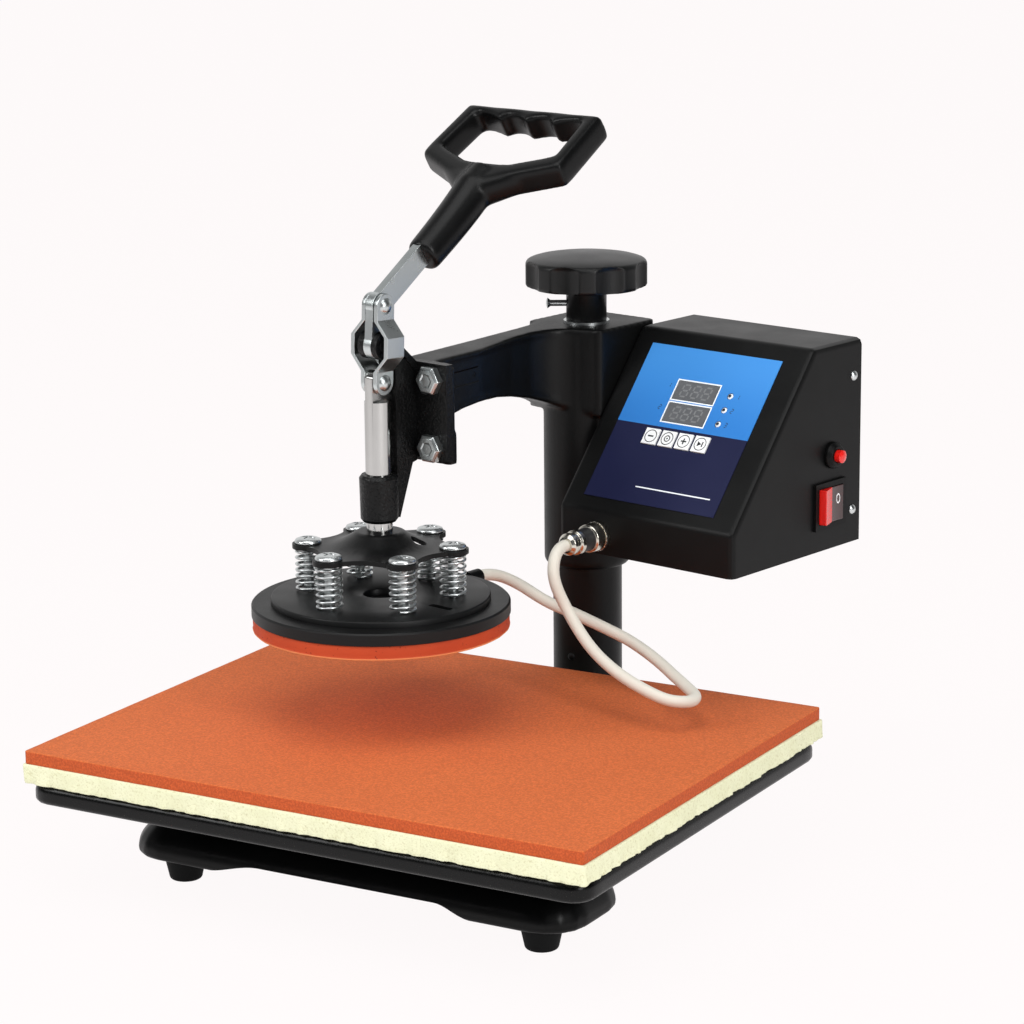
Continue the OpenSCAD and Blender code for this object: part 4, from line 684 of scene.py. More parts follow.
# %% Tray
TRAY_W, TRAY_D, TRAY_LOW, TRAY_TOP = 380.0, 305.0, 60.6, 73.0
TRAY_CORNER, TRAY_ROLL, TRAY_EDGE, CURL, SHEET = 14.0, 5.0, 30.0, 3.4, 2.0
SLIT_Y, SLIT_Z, SLIT_DEEP = (122.8, 124.8), (58, 68), 6
low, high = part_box("tray")
BOARD_MIDDLE = [(low[0] + high[0]) / 2 / MM, (low[1] + high[1]) / 2 / MM, 0]


def on_board(points):
    """Board to press: moved to the board's middle, in metres."""
    return (np.asarray(points, float) + BOARD_MIDDLE) * MM


def carried_round(rows, points, normals):
    """Each row (inset, z) is the loop moved in along its normals by the inset, at the height z."""
    inset, z = np.asarray(rows).T
    flat = points - inset[:, None, None] * normals
    return capped(np.concatenate([flat, np.repeat(z[:, None, None], len(points), 1)], -1))


def tray_grid():
    """The pan's section, with quarter circles at the rim and the roll, carried round a rounded rectangle."""
    bend = np.radians(np.linspace(0, 90, 8))
    inside = [[TRAY_EDGE, TRAY_TOP - SHEET], [TRAY_ROLL, TRAY_TOP - SHEET],
              [CURL + 0.4, TRAY_TOP - TRAY_ROLL], [CURL, TRAY_LOW + 0.3]]
    rim = np.column_stack([CURL * (1 - np.sin(bend)), TRAY_LOW + CURL * (1 - np.cos(bend))])
    roll = np.column_stack([TRAY_ROLL * (1 - np.cos(bend)), TRAY_TOP - TRAY_ROLL * (1 - np.sin(bend))])
    rows = np.concatenate([inside, rim, roll, [[TRAY_EDGE, TRAY_TOP]]])
    return carried_round(rows, *loop_of(TRAY_W, TRAY_D, TRAY_CORNER, 8.0))


pan = skin("board_tray", [on_board(tray_grid())], sharp=50)
slits = [block_grid([x - SLIT_DEEP, SLIT_Y[0], SLIT_Z[0]], [x + SLIT_DEEP, SLIT_Y[1], SLIT_Z[1]], 2)
         for x in (-TRAY_W / 2, TRAY_W / 2)]
cut_out(pan, skin("cutter", [on_board(g) for g in slits]))
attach(pan, "base")
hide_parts("tray")
print("tray faces:", len(pan.data.polygons))

# %% [markdown]
# ## The base
# The base is stamped from sheet: two cross beams with round, boat-like ends and a broad spine between them,
# open below. Each is a section carried round an outline; the three are fused, then the same form, a sheet's
# thickness smaller, is cut out from below, and a shallow rise is cut into the front skirt between the feet.

# %% Base
BEAM_AT, BEAM_SIZE = ((-7.0, -57.5), (0.0, 201.0)), ((311.0, 80.0), (240.0, 80.0))
BEAM_CORNER, SPINE_W, BASE_LOW, BASE_SHEET = 26.0, 122.0, 15.0, 2.5
STAMPED = np.array([[2.5, 15], [0.8, 16], [0, 18], [0.2, 21], [1.2, 24.5], [3.2, 28], [6.2, 31.5],
                    [10.2, 34.6], [14, 36.8], [17, 37.8], [19, 38]])
SKIRT_LEFT, SKIRT_RIGHT, SKIRT_RISE, SKIRT_DEEP = (-108.0, -62.0), (60.0, 90.0), 8.5, 46.0


def stamped_rows(thinner):
    """The stamped section (inset, z), or the same moved inwards and down by a thickness and open below."""
    rows = STAMPED + [thinner, 0]
    rows[:, 1] -= thinner * np.clip((STAMPED[:, 1] - 20) / 15, 0, 1)
    return np.concatenate([[[rows[0, 0], BASE_LOW - 4]], rows]) if thinner else rows


def beam_form(at, size, thinner):
    """The section carried round a rectangle with very round corners."""
    points, normals = loop_of(*size, BEAM_CORNER, 6.0)
    return carried_round(stamped_rows(thinner), points + np.asarray(at), normals)


def drawn_back(ring, start, end, steps):
    """A closed outline carried straight back from one y to another."""
    y = np.linspace(start, end, steps)
    return capped(ring + y[:, None, None] * np.array([0, 1.0, 0]))


def spine_form(thinner):
    """The section and its mirror image, carried from the front beam's middle to the rear one's."""
    inset, z = stamped_rows(thinner).T
    right = np.stack([SPINE_W / 2 - inset, 0 * z, z], -1)
    ring = np.concatenate([right, right[::-1] * [-1, 1, 1], right[:1]])[::-1]
    return drawn_back(ring, BEAM_AT[0][1], BEAM_AT[1][1], 60)


def skirt_form():
    """A low bump, 3t^2 - 2t^3 up and down again, carried through the front beam."""
    x = np.linspace(SKIRT_LEFT[0], SKIRT_RIGHT[1], 80)
    t = np.clip((x - SKIRT_LEFT[0]) / (SKIRT_LEFT[1] - SKIRT_LEFT[0]), 0, 1)
    u = np.clip((SKIRT_RIGHT[1] - x) / (SKIRT_RIGHT[1] - SKIRT_RIGHT[0]), 0, 1)
    top = BASE_LOW - 0.6 + SKIRT_RISE * (3 * t**2 - 2 * t**3) * (3 * u**2 - 2 * u**3)
    upper = np.stack([x, 0 * x, top], -1)
    ring = np.concatenate([upper, upper[::-1] * [1, 1, 0] + [0, 0, BASE_LOW - 6], upper[:1]])
    return drawn_back(ring, BEAM_AT[0][1] - SKIRT_DEEP, BEAM_AT[0][1] + SKIRT_DEEP, 30)


def base_forms(thinner):
    """Both beams and the spine, whole or thinner by a sheet."""
    return [*[beam_form(at, size, thinner) for at, size in zip(BEAM_AT, BEAM_SIZE)], spine_form(thinner)]


shell = fuse("base_shell", [on_board(g) for g in base_forms(0)], 1.7, 5)
for form in (*base_forms(BASE_SHEET), skirt_form()):
    cut_out(shell, skin("cutter", [on_board(form)]))
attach(shell, "base")
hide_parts("base_frame")
print("base faces:", len(shell.data.polygons))

# %% [markdown]
# ## Knob, bolts, screws and cover
# The height knob is a lathe shape with eight flutes: at each angle the radius is the smaller of the knob's
# own and of a large circle set beside it, and the circle shrinks near the top, so each flute ends in an
# arch. Hex bolts hold the bracket to the arm, the spring screws have flat heads with a cross, and the
# heater's cover is turned, with a round hole and a short slot.

# %% Knob
KNOB_LOW, KNOB_R, KNOB_H, KNOB_RIM, RIM_LOW, STEM_R, STEM_H = 334.04, 39.0, 21.5, 3.6, 14.5, 13.0, 21.5
FLUTES, FLUTE_R, FLUTE_IN, FLUTE_TOP, FLUTE_TURN = 8, 18.0, 4.0, 14.2, math.radians(18.5)
SOFTNESS = 0.45


def knob_grid():
    """Rows (r, z); r is softly limited by C cos d - sqrt(R^2 - C^2 sin^2 d), d from the nearest flute."""
    bend = np.radians(np.linspace(0, 75, 8))
    foot = [[0, 0], [20, 0], [KNOB_R - 5, 0], [KNOB_R - 2.5, 0.1], [KNOB_R - 0.8, 0.7], [KNOB_R, 2]]
    side = np.column_stack([np.full(24, KNOB_R), np.linspace(3, RIM_LOW, 24)])
    rim = np.column_stack([KNOB_R - KNOB_RIM * (1 - np.cos(bend)), RIM_LOW + KNOB_RIM * np.sin(bend)])
    dome = [[33, KNOB_H - 2.5], [28, KNOB_H - 1.6], [20, KNOB_H - 0.8], [10, KNOB_H - 0.2], [0, KNOB_H]]
    r, z = np.concatenate([foot, side, rim, dome]).T
    a = np.linspace(0, 2 * np.pi, 385)
    pitch = 2 * np.pi / FLUTES
    d = (a - FLUTE_TURN + pitch / 2) % pitch - pitch / 2
    far = KNOB_R + FLUTE_R - FLUTE_IN
    inside = FLUTE_R**2 - 5.6 * np.clip(z - FLUTE_TOP, 0, None)[:, None] ** 2 - (far * np.sin(d)) ** 2
    limit = np.where(inside > 0, far * np.cos(d) - np.sqrt(np.maximum(inside, 0)), 60.0)
    own = np.repeat(r[:, None], len(a), 1)
    soft = -SOFTNESS * np.logaddexp(-own / SOFTNESS, -limit / SOFTNESS)
    radius = np.where(own > 30, soft, own)
    height = np.repeat(z[:, None], len(a), 1) + KNOB_LOW
    return np.stack([radius * np.cos(a), radius * np.sin(a), height], -1)


stem = lathe([[0, 0], [STEM_R - 0.5, 0], [STEM_R, 0.5], [STEM_R, STEM_H - 1.5],
              [STEM_R + 1.5, STEM_H + 0.2], [0, STEM_H + 0.2]], 96) + [0, 0, KNOB_LOW - STEM_H]
knob = skin("height_knob", [on_arm(knob_grid()), on_arm(stem)], sharp=55)
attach(knob, "knob")
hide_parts("pressure_knob")
print("knob faces:", len(knob.data.polygons))

# %% Flange bolts
BOLT_AT, BOLT_Z, BOLT_AF, BOLT_H, FLANGE_FACE = 19.5, (302.0, 260.0), 16.0, 5.6, -170.0


def bolt_grid(u, z):
    """A six-sided lathe: hexagon, chamfer and a slightly dished top; its axis points out of the flange."""
    corner = BOLT_AF / math.sqrt(3)
    rows = [[0, -0.2], [corner, -0.2], [corner, BOLT_H - 1.3], [corner - 1.6, BOLT_H], [4.5, BOLT_H],
            [4, BOLT_H - 0.4], [0, BOLT_H - 0.4]]
    x, y, out = np.moveaxis(lathe(rows, 6), -1, 0)
    return np.stack([u + x, FLANGE_FACE - out, z + y], -1)


bolts = skin("flange_bolts", [on_arm(bolt_grid(s * BOLT_AT, z)) for s in (-1, 1) for z in BOLT_Z], sharp=20)
rounding = bolts.modifiers.new("bevel", "BEVEL")
rounding.width, rounding.segments, rounding.limit_method = 0.45 * MM, 2, "ANGLE"
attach(bolts, "arm")
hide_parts("bracket_bolts")
print("bolt faces:", len(bolts.data.polygons))

# %% Spring screws
HEAD_LOW, CROSS_LONG, CROSS_WIDE, CROSS_Z = 201.5, 3.6, 0.75, (2.1, 5)
HEAD_ROWS = [[0, -36], [3, -36], [3, 0], [7.9, 0], [8.3, 0.5], [8.3, 1.3], [7.6, 2.4], [5.5, 3.2], [0, 3.5]]
at_screws = [[math.cos(a) * SPRING_PCD / 2, math.sin(a) * SPRING_PCD / 2, HEAD_LOW] for a in SCREW_ANGLES]
screws = skin("head_screws", [on_press(lathe(HEAD_ROWS, 48) + at) for at in at_screws], sharp=50)
for x, y in ((CROSS_LONG, CROSS_WIDE), (CROSS_WIDE, CROSS_LONG)):
    groove = block_grid([-x, -y, CROSS_Z[0]], [x, y, CROSS_Z[1]], 2, 12.0)
    cut_out(screws, skin("cutter", [on_press(groove + at) for at in at_screws]))
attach(screws, "heater")
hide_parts("spring_screws")
print("screw faces:", len(screws.data.polygons))

# %% Heater cover
COVER_LOW, COVER_R, COVER_T, COVER_HOLE = 167.5, 67.0, 4.0, 11.0
SLOT_AT, SLOT_LONG, SLOT_WIDE = (49.9, -1.1), 8.5, 2.4
cover_rows = [[COVER_HOLE, 0], [COVER_R, 0], [COVER_R, COVER_T - 1], [COVER_R - 0.3, COVER_T - 0.3],
              [COVER_R - 1, COVER_T], [COVER_HOLE + 0.5, COVER_T], [COVER_HOLE, COVER_T - 0.5],
              [COVER_HOLE, 0]]
cover = skin("cover_plate", [on_press(lathe(cover_rows, 192) + [0, 0, COVER_LOW])], sharp=50)
slot_cut = block_grid([-SLOT_LONG, -SLOT_WIDE, COVER_LOW - 1],
                      [SLOT_LONG, SLOT_WIDE, COVER_LOW + COVER_T + 1], 2, 6.0)
cut_out(cover, skin("cutter", [on_press(slot_cut + [*SLOT_AT, 0])]))
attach(cover, "heater")
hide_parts("heater_cover")
print("cover faces:", len(cover.data.polygons))

# %% [markdown]
# ## Marks on the panel and the keys
# The panel's windows show sleeping digits, and the keys carry plain signs. They are flat shapes that lie a
# few hundredths of a millimetre over the surface, so they stay crisp at any distance.

# %% Flat marks
OVERLAY_X, OVERLAY_S, OVERLAY_H = 16.0, 9.445, 111.0
WINDOW_X, WINDOW_S = OVERLAY_X + 33, (OVERLAY_S + 58.5, OVERLAY_S + 74.5)
WINDOW_W, WINDOW_H = 32.0, 13.0
LED_X, LED_S = OVERLAY_X + 75.5, (OVERLAY_S + 62, OVERLAY_S + 72, OVERLAY_S + 82)
KEY_X, KEY_PITCH, KEY_S, KEY_TOP = OVERLAY_X + 31, 13.0, OVERLAY_S + 46.3, 1.5
MARK_LOW, MARK_T, SLANT = 0.5, 0.05, 0.12
SEGMENTS = {1: [1, 2], 2: [0, 1, 6, 4, 3], 3: [0, 1, 6, 2, 3], 8: range(7)}


def plate(outline, low):
    """A flat polygon given thickness: its outline at two heights, closed by its middle on both faces."""
    flat = np.asarray(outline, float)
    ring = np.concatenate([flat, flat[:1]])
    rings = np.stack([np.column_stack([ring, np.full(len(ring), z)]) for z in (low, low + MARK_T)])
    return capped(rings)


def annulus(centre, outer, inner, low):
    """A flat ring: its section goes round the centre."""
    section = [[inner, low], [outer, low], [outer, low + MARK_T], [inner, low + MARK_T], [inner, low]]
    return lathe(section, 40) + [*centre, 0]


def stroke(a, b, width):
    """The four corners of a straight stroke from a to b."""
    a, b = np.asarray(a, float), np.asarray(b, float)
    side = np.array([a[1] - b[1], b[0] - a[0]]) / np.linalg.norm(b - a) * width / 2
    return [a + side, a - side, b - side, b + side]


def seven(digit, x, y, w, h, width):
    """Strokes of a slanted seven-segment digit in a box w by h. In order, the segments are top, upper right,
    lower right, bottom, lower left, upper left and middle."""
    ends = [[(0, h), (w, h)], [(w, h), (w, h / 2)], [(w, h / 2), (w, 0)], [(0, 0), (w, 0)],
            [(0, h / 2), (0, 0)], [(0, h), (0, h / 2)], [(0, h / 2), (w, h / 2)]]
    lean = np.array([[1, 0], [SLANT, 1]])
    strokes = []
    for k in SEGMENTS[digit]:
        a, b = np.array(ends[k], float)
        gap = (b - a) / np.linalg.norm(b - a) * width * 0.62
        strokes.append(np.array(stroke(a + gap, b - gap, width)) @ lean + [x, y])
    return strokes


def marks(name, grids, body):
    """Plates on the panel as one piece that rides on a body."""
    made = skin(name, [on_panel(g) for g in grids], sharp=20)
    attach(made, body)
    return made


digit_grids = [plate(s, MARK_LOW) for y in WINDOW_S for k in range(3)
               for s in seven(8, WINDOW_X + 4.6 + 8.4 * k, y + 2.3, 5.2, 8.4, 1.15)]
digits = marks("display_digits", digit_grids, "arm")
label_at = [(3 - k, LED_X + 5, y - 1.4) for k, y in enumerate(LED_S)]
label_at += [(2 - k, WINDOW_X - 7, y + 7.6) for k, y in enumerate(WINDOW_S)]
label_grids = [plate(s, MARK_LOW) for at in label_at for s in seven(*at, 1.7, 3.0, 0.42)]
labels = marks("panel_numbers", label_grids, "arm")


def key_sign(k):
    """Plates of the sign on the k-th key: minus, ring and dot, plus, arrow to a bar; all in a thin circle."""
    c = np.array([KEY_X + KEY_PITCH * k, KEY_S])
    grids = [annulus(c, 4.5, 3.95, KEY_TOP)]
    level = [plate(stroke(c - [2.1, 0], c + [2.1, 0], 1.0), KEY_TOP)]
    if k == 0:
        grids += level
    if k == 1:
        dot = c + 0.75 * np.array([[1, 0], [0, 1], [-1, 0], [0, -1]])
        grids += [annulus(c, 2.3, 1.6, KEY_TOP), plate(dot, KEY_TOP)]
    if k == 2:
        grids += level + [plate(stroke(c - [0, 2.1], c - [0, 0.5], 1.0), KEY_TOP),
                          plate(stroke(c + [0, 0.5], c + [0, 2.1], 1.0), KEY_TOP)]
    if k == 3:
        grids += [plate(c + np.array([[-2.1, -1.8], [0.9, 0], [-2.1, 1.8]]), KEY_TOP),
                  plate(stroke(c + [1.6, -1.8], c + [1.6, 1.8], 0.9), KEY_TOP)]
    return grids


KEY_BODIES = ("minus_button", "mode_button", "plus_button", "enter_button")
signs = [marks(body.split("_")[0] + "_sign", key_sign(k), body)
         for k, body in enumerate(KEY_BODIES)]
print("marks:", [m.name for m in (digits, labels, *signs)])

# %% The switch's off mark
BOX_SIDE_U, ROCKER_V, ROCKER_Z, ROCKER_TILT = 165.5, 37.0, 208.244, math.radians(9)
ROCKER_OUT, ROCKER_SLOPE = 2.6, math.atan2(2.0, 11.7)
OFF_AT = [6.2, 3.0, 0]


def on_rocker(points):
    """Rear face of the rocker to press: x back along the sloping face, y up, z out of it."""
    x, y, z = np.moveaxis(np.asarray(points, float), -1, 0)
    out = ROCKER_OUT + x * math.sin(ROCKER_SLOPE) + z * math.cos(ROCKER_SLOPE)
    back = x * math.cos(ROCKER_SLOPE) - z * math.sin(ROCKER_SLOPE)
    c, s = math.cos(ROCKER_TILT), math.sin(ROCKER_TILT)
    u, v = BOX_SIDE_U + out * c - back * s, ROCKER_V + out * s + back * c
    return on_arm(np.stack([u, v, ROCKER_Z + y], -1))


off_grid = annulus((0, 0), 2.6, 1.9, 0.0) * [0.75, 1.25, 1] + OFF_AT
off_mark = skin("off_mark", [on_rocker(off_grid)], sharp=20)
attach(off_mark, "rocker")
print("off mark at", np.round(on_rocker(OFF_AT), 4))

# %% [markdown]
# ## Finishes
# Every finish is a small network of shader nodes. Writing such networks by hand hides the maths, so one small
# class wraps a socket: sums and products of wires become Math nodes, and a single method adds any other node.


# %% Shader wires
class Wire:
    """A shader socket in a material's tree."""

    def __init__(self, tree, socket=None):
        self.tree, self.socket = tree, socket

    def node(self, kind, settings=None, sockets=None, out=0):
        """Adds a node: its settings first, a ramp's stops among them, then numbers or wires for sockets."""
        made = self.tree.nodes.new("ShaderNode" + kind)
        for key, value in (settings or {}).items():
            if key == "stops":
                for k, (at, colour) in enumerate(value):
                    stop = made.color_ramp.elements[k] if k < 2 else made.color_ramp.elements.new(at)
                    stop.position, stop.color = at, colour
            else:
                setattr(made, key, value)
        for key, value in (sockets or {}).items():
            if isinstance(value, Wire):
                self.tree.links.new(value.socket, made.inputs[key])
            else:
                made.inputs[key].default_value = value
        return Wire(self.tree, made.outputs[out])

    def math(self, operation, *others):
        """A Math node on this wire and others."""
        return self.node("Math", {"operation": operation}, dict(enumerate((self, *others))))

    def __add__(self, other):
        return self.math("ADD", other)

    def __sub__(self, other):
        return self.math("SUBTRACT", other)

    def __rsub__(self, other):
        return self.node("Math", {"operation": "SUBTRACT"}, {0: other, 1: self})

    def __mul__(self, other):
        return self.math("MULTIPLY", other)

    def __pow__(self, other):
        return self.math("POWER", other)

    __radd__, __rmul__ = __add__, __mul__

    def step(self, low, high):
        """0 below low and 1 above high, smooth between."""
        return self.node("MapRange", {"interpolation_type": "SMOOTHSTEP"}, {0: self, 1: low, 2: high})

    def noise(self, scale, detail=2.0, rough=0.5):
        """Noise from 0 to 1 at a place; the scale counts features a metre."""
        return self.node("TexNoise", None, {
            "Vector": self, "Scale": scale, "Detail": detail, "Roughness": rough})

    def blend(self, low, high):
        """Colour low where this mask is 0 and high where it is 1."""
        return self.node("Mix", {"data_type": "RGBA"}, {0: self, 6: low, 7: high}, out=2)

    def axis(self, name):
        """One coordinate of a place."""
        return self.node("SeparateXYZ", None, {0: self}, out=name)


def srgb(red, green, blue):
    """A colour as seen on screen, 0 to 255, as the linear colour that light adds up in."""
    c = np.array([red, green, blue]) / 255
    linear = np.where(c <= 0.04045, c / 12.92, ((c + 0.055) / 1.055) ** 2.4)
    return (*linear.tolist(), 1.0)


class Finish:
    """A material with its main shader; constants are set on the shader's own sockets."""

    def __init__(self, name, **constants):
        self.material = bpy.data.materials.new(name)
        self.material.use_nodes = True
        tree = self.material.node_tree
        self.shader = tree.nodes["Principled BSDF"]
        for key, value in constants.items():
            self.shader.inputs[key.replace("_", " ")].default_value = value
        self.place = Wire(tree).node("TexCoord", out="Object")

    def feed(self, **wires):
        for key, wire in wires.items():
            wire.tree.links.new(wire.socket, self.shader.inputs[key.replace("_", " ")])
        return self

    def bump(self, height, depth, strength=1.0):
        """Tilts the surface's normal as if it had this height, in metres of depth."""
        tilt = height.node("Bump", None, {"Strength": strength, "Distance": depth, "Height": height})
        return self.feed(Normal=tilt)

    def local(self, at, turn):
        """Places counted in millimetres from a point, in axes turned by three angles."""
        return self.place.node("Mapping", {"vector_type": "TEXTURE"}, {
            "Vector": self.place, "Location": tuple(float(x) for x in at), "Rotation": turn,
            "Scale": (MM, MM, MM)})


print("wires ready")

# %% [markdown]
# ## Black coats
# Almost everything rigid is black, yet no two blacks are alike: the castings are pebbled enamel, the arm and
# the sheet metal smoother, the plastics soft and even. What differs is the size and depth of the relief, how
# rough the shine is, and how much of it there is. Dust and thin spots shift the tone by a few per cent.


# %% Black finishes
COOL = (0.96, 1.0, 1.03)


def black_coat(name, tone, rough, grain, depth, shine, cast=0.0):
    """Colour = tone * (0.75 + 0.5 cloud); roughness = rough + 0.16 (cloud - 0.5) + 0.1 (fine - 0.5);
    height = fine noise, with pebbles about three times as large on a casting."""
    f = Finish(name, Specular_IOR_Level=shine)
    cloud = f.place.noise(38, 3)
    dark, light = ((*[tone * k * t for t in COOL], 1.0) for k in (0.75, 1.25))
    fine = f.place.noise(grain, 2)
    f.feed(Base_Color=cloud.blend(dark, light), Roughness=rough + 0.16 * (cloud - 0.5) + 0.1 * (fine - 0.5))
    height = fine
    if cast:
        height = fine * 0.4 + cast * f.place.noise(grain / 3.2, 1).step(0.42, 0.62)
    return f.bump(height, depth * MM).material


sheet_black = black_coat("sheet_enamel", 0.0022, 0.34, 900, 0.04, shine=0.2)
tray_black = black_coat("tray_enamel", 0.0022, 0.27, 900, 0.03, shine=0.22)
arm_black = black_coat("arm_enamel", 0.0034, 0.4, 700, 0.06, shine=0.2)
cast_black = black_coat("cast_enamel", 0.0035, 0.36, 1500, 0.16, shine=0.24, cast=0.9)
box_black = black_coat("box_enamel", 0.0036, 0.4, 2300, 0.03, shine=0.19)
spider_black = black_coat("spider_enamel", 0.0034, 0.36, 1100, 0.03, shine=0.2)
heater_black = black_coat("heater_coat", 0.0042, 0.44, 1400, 0.04, shine=0.26)
knob_black = black_coat("knob_plastic", 0.0045, 0.38, 1600, 0.03, shine=0.34)
grip_black = black_coat("grip_plastic", 0.0032, 0.34, 1900, 0.03, shine=0.22)
part_black = black_coat("part_plastic", 0.0032, 0.42, 2000, 0.03, shine=0.17)
rubber_black = black_coat("foot_rubber", 0.0065, 0.62, 1200, 0.05, shine=0.15)
print("black coats made")

# %% [markdown]
# ## Metals
# Zinc plating has a cool, cloudy shine. The plunger is turned: fine grooves run round it, so they follow the
# height. The connector is nickel with a warm tint and a black band.


# %% Metal finishes
def plated(name, colour, rough, streak=None, depth=0.01):
    """Metal: colour * (0.84 + 0.24 cloud), roughness + 0.22 (cloud - 0.5); streaks are noise that is
    stretched along an axis."""
    f = Finish(name, Metallic=1.0)
    cloud = f.place.noise(60, 4, 0.6)
    dark, light = ((*[c * k for c in colour], 1.0) for k in (0.84, 1.08))
    f.feed(Base_Color=cloud.blend(dark, light))
    if streak:
        stretched = f.place.node("Mapping", None, {"Vector": f.place, "Scale": streak})
        lines = stretched.noise(1.0, 3)
        f.feed(Roughness=rough + 0.2 * (cloud - 0.5) + 0.16 * (lines - 0.5)).bump(lines, depth * MM)
    else:
        f.feed(Roughness=rough + 0.22 * (cloud - 0.5)).bump(f.place.noise(1400, 2), depth * MM)
    return f.material


zinc = plated("zinc_plate", (0.6, 0.64, 0.64), 0.3)
bright_zinc = plated("spring_zinc", (0.7, 0.73, 0.73), 0.32)
turned_steel = plated("turned_steel", (0.53, 0.526, 0.514), 0.15, streak=(60, 60, 5200), depth=0.003)
nickel = plated("nickel_plate", (0.66, 0.635, 0.57), 0.18)
brass = plated("turned_brass", (0.68, 0.5, 0.22), 0.3, streak=(80, 80, 4000))
PLUG_MID = BOX_CORNER + [33.0, 0, -15.5]


def banded_plug():
    """Nickel with a black band: the mask is the place along the plug's axis, 12.2 to 21 mm from the box."""
    f = Finish("plug_nickel")
    along = -1 * f.local(on_arm(PLUG_MID), (0, 0, -SWING)).axis("Y")
    band = along.step(12.1, 12.4) * (1 - along.step(20.9, 21.2))
    cloud = f.place.noise(90, 3)
    metal = cloud.blend((0.58, 0.555, 0.49, 1), (0.74, 0.71, 0.63, 1))
    ribs = 0.5 + 0.5 * (along * 7.4).math("SINE")
    f.feed(Base_Color=band.blend(metal, (0.012, 0.012, 0.013, 1)), Metallic=1 - band,
           Roughness=0.2 + 0.3 * band + 0.14 * (cloud - 0.5))
    return f.bump(ribs * band, 0.12 * MM).material


plug_nickel = banded_plug()
print("metals made")

# %% [markdown]
# ## Silicone, foam and sleeve
# The mat is open-grained silicone: a fine, even grain with a few paler clouds, and painted shade on its cut
# edge.
# The foam is felt-like and pale yellow. The pad is denser and redder, with dark specks of dirt and a pale
# lower rim that is a painted highlight. The cable's sleeve is pale and plain.


# %% Soft finishes
def mat_finish():
    """Orange clouds 120 mm wide over a fine grain, painted shade on the cut edge; height = two sizes of
    grain.
    """
    f = Finish("mat_silicone", Specular_IOR_Level=0.22, Sheen_Weight=0.05, Sheen_Roughness=0.6,
               Sheen_Tint=srgb(255, 190, 150))
    cloud = f.place.noise(9, 3)
    grain = f.place.noise(780, 3, 0.7)
    on_top = f.place.axis("Z").step((MAT_TOP - 0.7) * MM, (MAT_TOP - 0.3) * MM)
    face = cloud.blend(srgb(202, 99, 50), srgb(213, 113, 61))
    # Painted shade: below the top face, the mat's side gets a darker orange.
    base = on_top.blend(srgb(194, 86, 42), face)
    speck = grain.step(0.38, 0.66)
    tones = speck.blend((0.76, 0.73, 0.7, 1), (1.08, 1.08, 1.08, 1))
    colour = speck.node("Mix", {"data_type": "RGBA", "blend_type": "MULTIPLY"},
                        {0: 1.0, 6: base, 7: tones}, out=2)
    f.feed(Base_Color=colour, Roughness=0.72 + 0.2 * (grain - 0.5))
    return f.bump(grain + 0.6 * f.place.noise(2600, 1), 0.2 * MM, 0.9).material


def foam_finish():
    """Pale yellow with darker pores; height = cells of about a millimetre."""
    f = Finish("board_foam", Specular_IOR_Level=0.15)
    cells = f.place.noise(750, 3, 0.7)
    cloud = f.place.noise(60, 3)
    base = cloud.blend(srgb(222, 222, 184), srgb(236, 236, 206))
    pores = cells.step(0.3, 0.5)
    f.feed(Base_Color=pores.blend(srgb(208, 204, 164), base), Roughness=0.9 + 0.1 * (cells - 0.5))
    return f.bump(cells, 0.5 * MM, 0.9).material


def pad_finish():
    """Red-orange with dark specks, and a painted highlight that makes the lowest millimetre paler."""
    f = Finish("pad_silicone", Specular_IOR_Level=0.25)
    # Painted highlight: the lowest millimetre, round the lip, is pale orange.
    rim = 1 - f.place.axis("Z").step((PAD_LOW + 0.8) * MM, (PAD_LOW + 1.4) * MM)
    grain = f.place.noise(1500, 3, 0.7)
    dirt = f.place.noise(420, 2).step(0.66, 0.74)
    base = f.place.noise(30, 3).blend(srgb(174, 60, 29), srgb(194, 76, 39))
    f.feed(Base_Color=rim.blend(dirt.blend(base, srgb(120, 40, 20)), srgb(232, 150, 96)),
           Roughness=0.7 + 0.2 * (grain - 0.5))
    return f.bump(grain, 0.15 * MM).material


def sleeve_finish():
    """One pale tone, with a slow cloud in its gloss."""
    f = Finish("cable_sleeve", Base_Color=srgb(214, 209, 197), Specular_IOR_Level=0.35, Sheen_Weight=0.1)
    return f.feed(Roughness=0.5 + 0.15 * (f.place.noise(45, 3) - 0.5)).material


mat_orange, foam_pale, pad_orange, cable_white = mat_finish(), foam_finish(), pad_finish(), sleeve_finish()
print("soft finishes made")

# %% [markdown]
# ## The printed panel
# The film on the control box is light blue above and navy below, with white frames round the windows. The
# print is drawn in the panel's own millimetres: a frame is a rectangle a little larger than its window, and
# the window covers the rest of it.

# %% Panel finishes
PANEL_ROLL, PRINT_EDGE = (PANEL_TILT, 0.0, -SWING), 0.12


def frame_mask(place, x, y, w, h, line):
    """1 in a rectangle grown by a line: the distance is the larger of |x| - w/2 and |y| - h/2."""
    dx = (place.axis("X") - (x + w / 2)).math("ABSOLUTE") - w / 2
    dy = (place.axis("Y") - (y + h / 2)).math("ABSOLUTE") - h / 2
    return 1 - dx.math("MAXIMUM", dy).step(line - PRINT_EDGE, line + PRINT_EDGE)


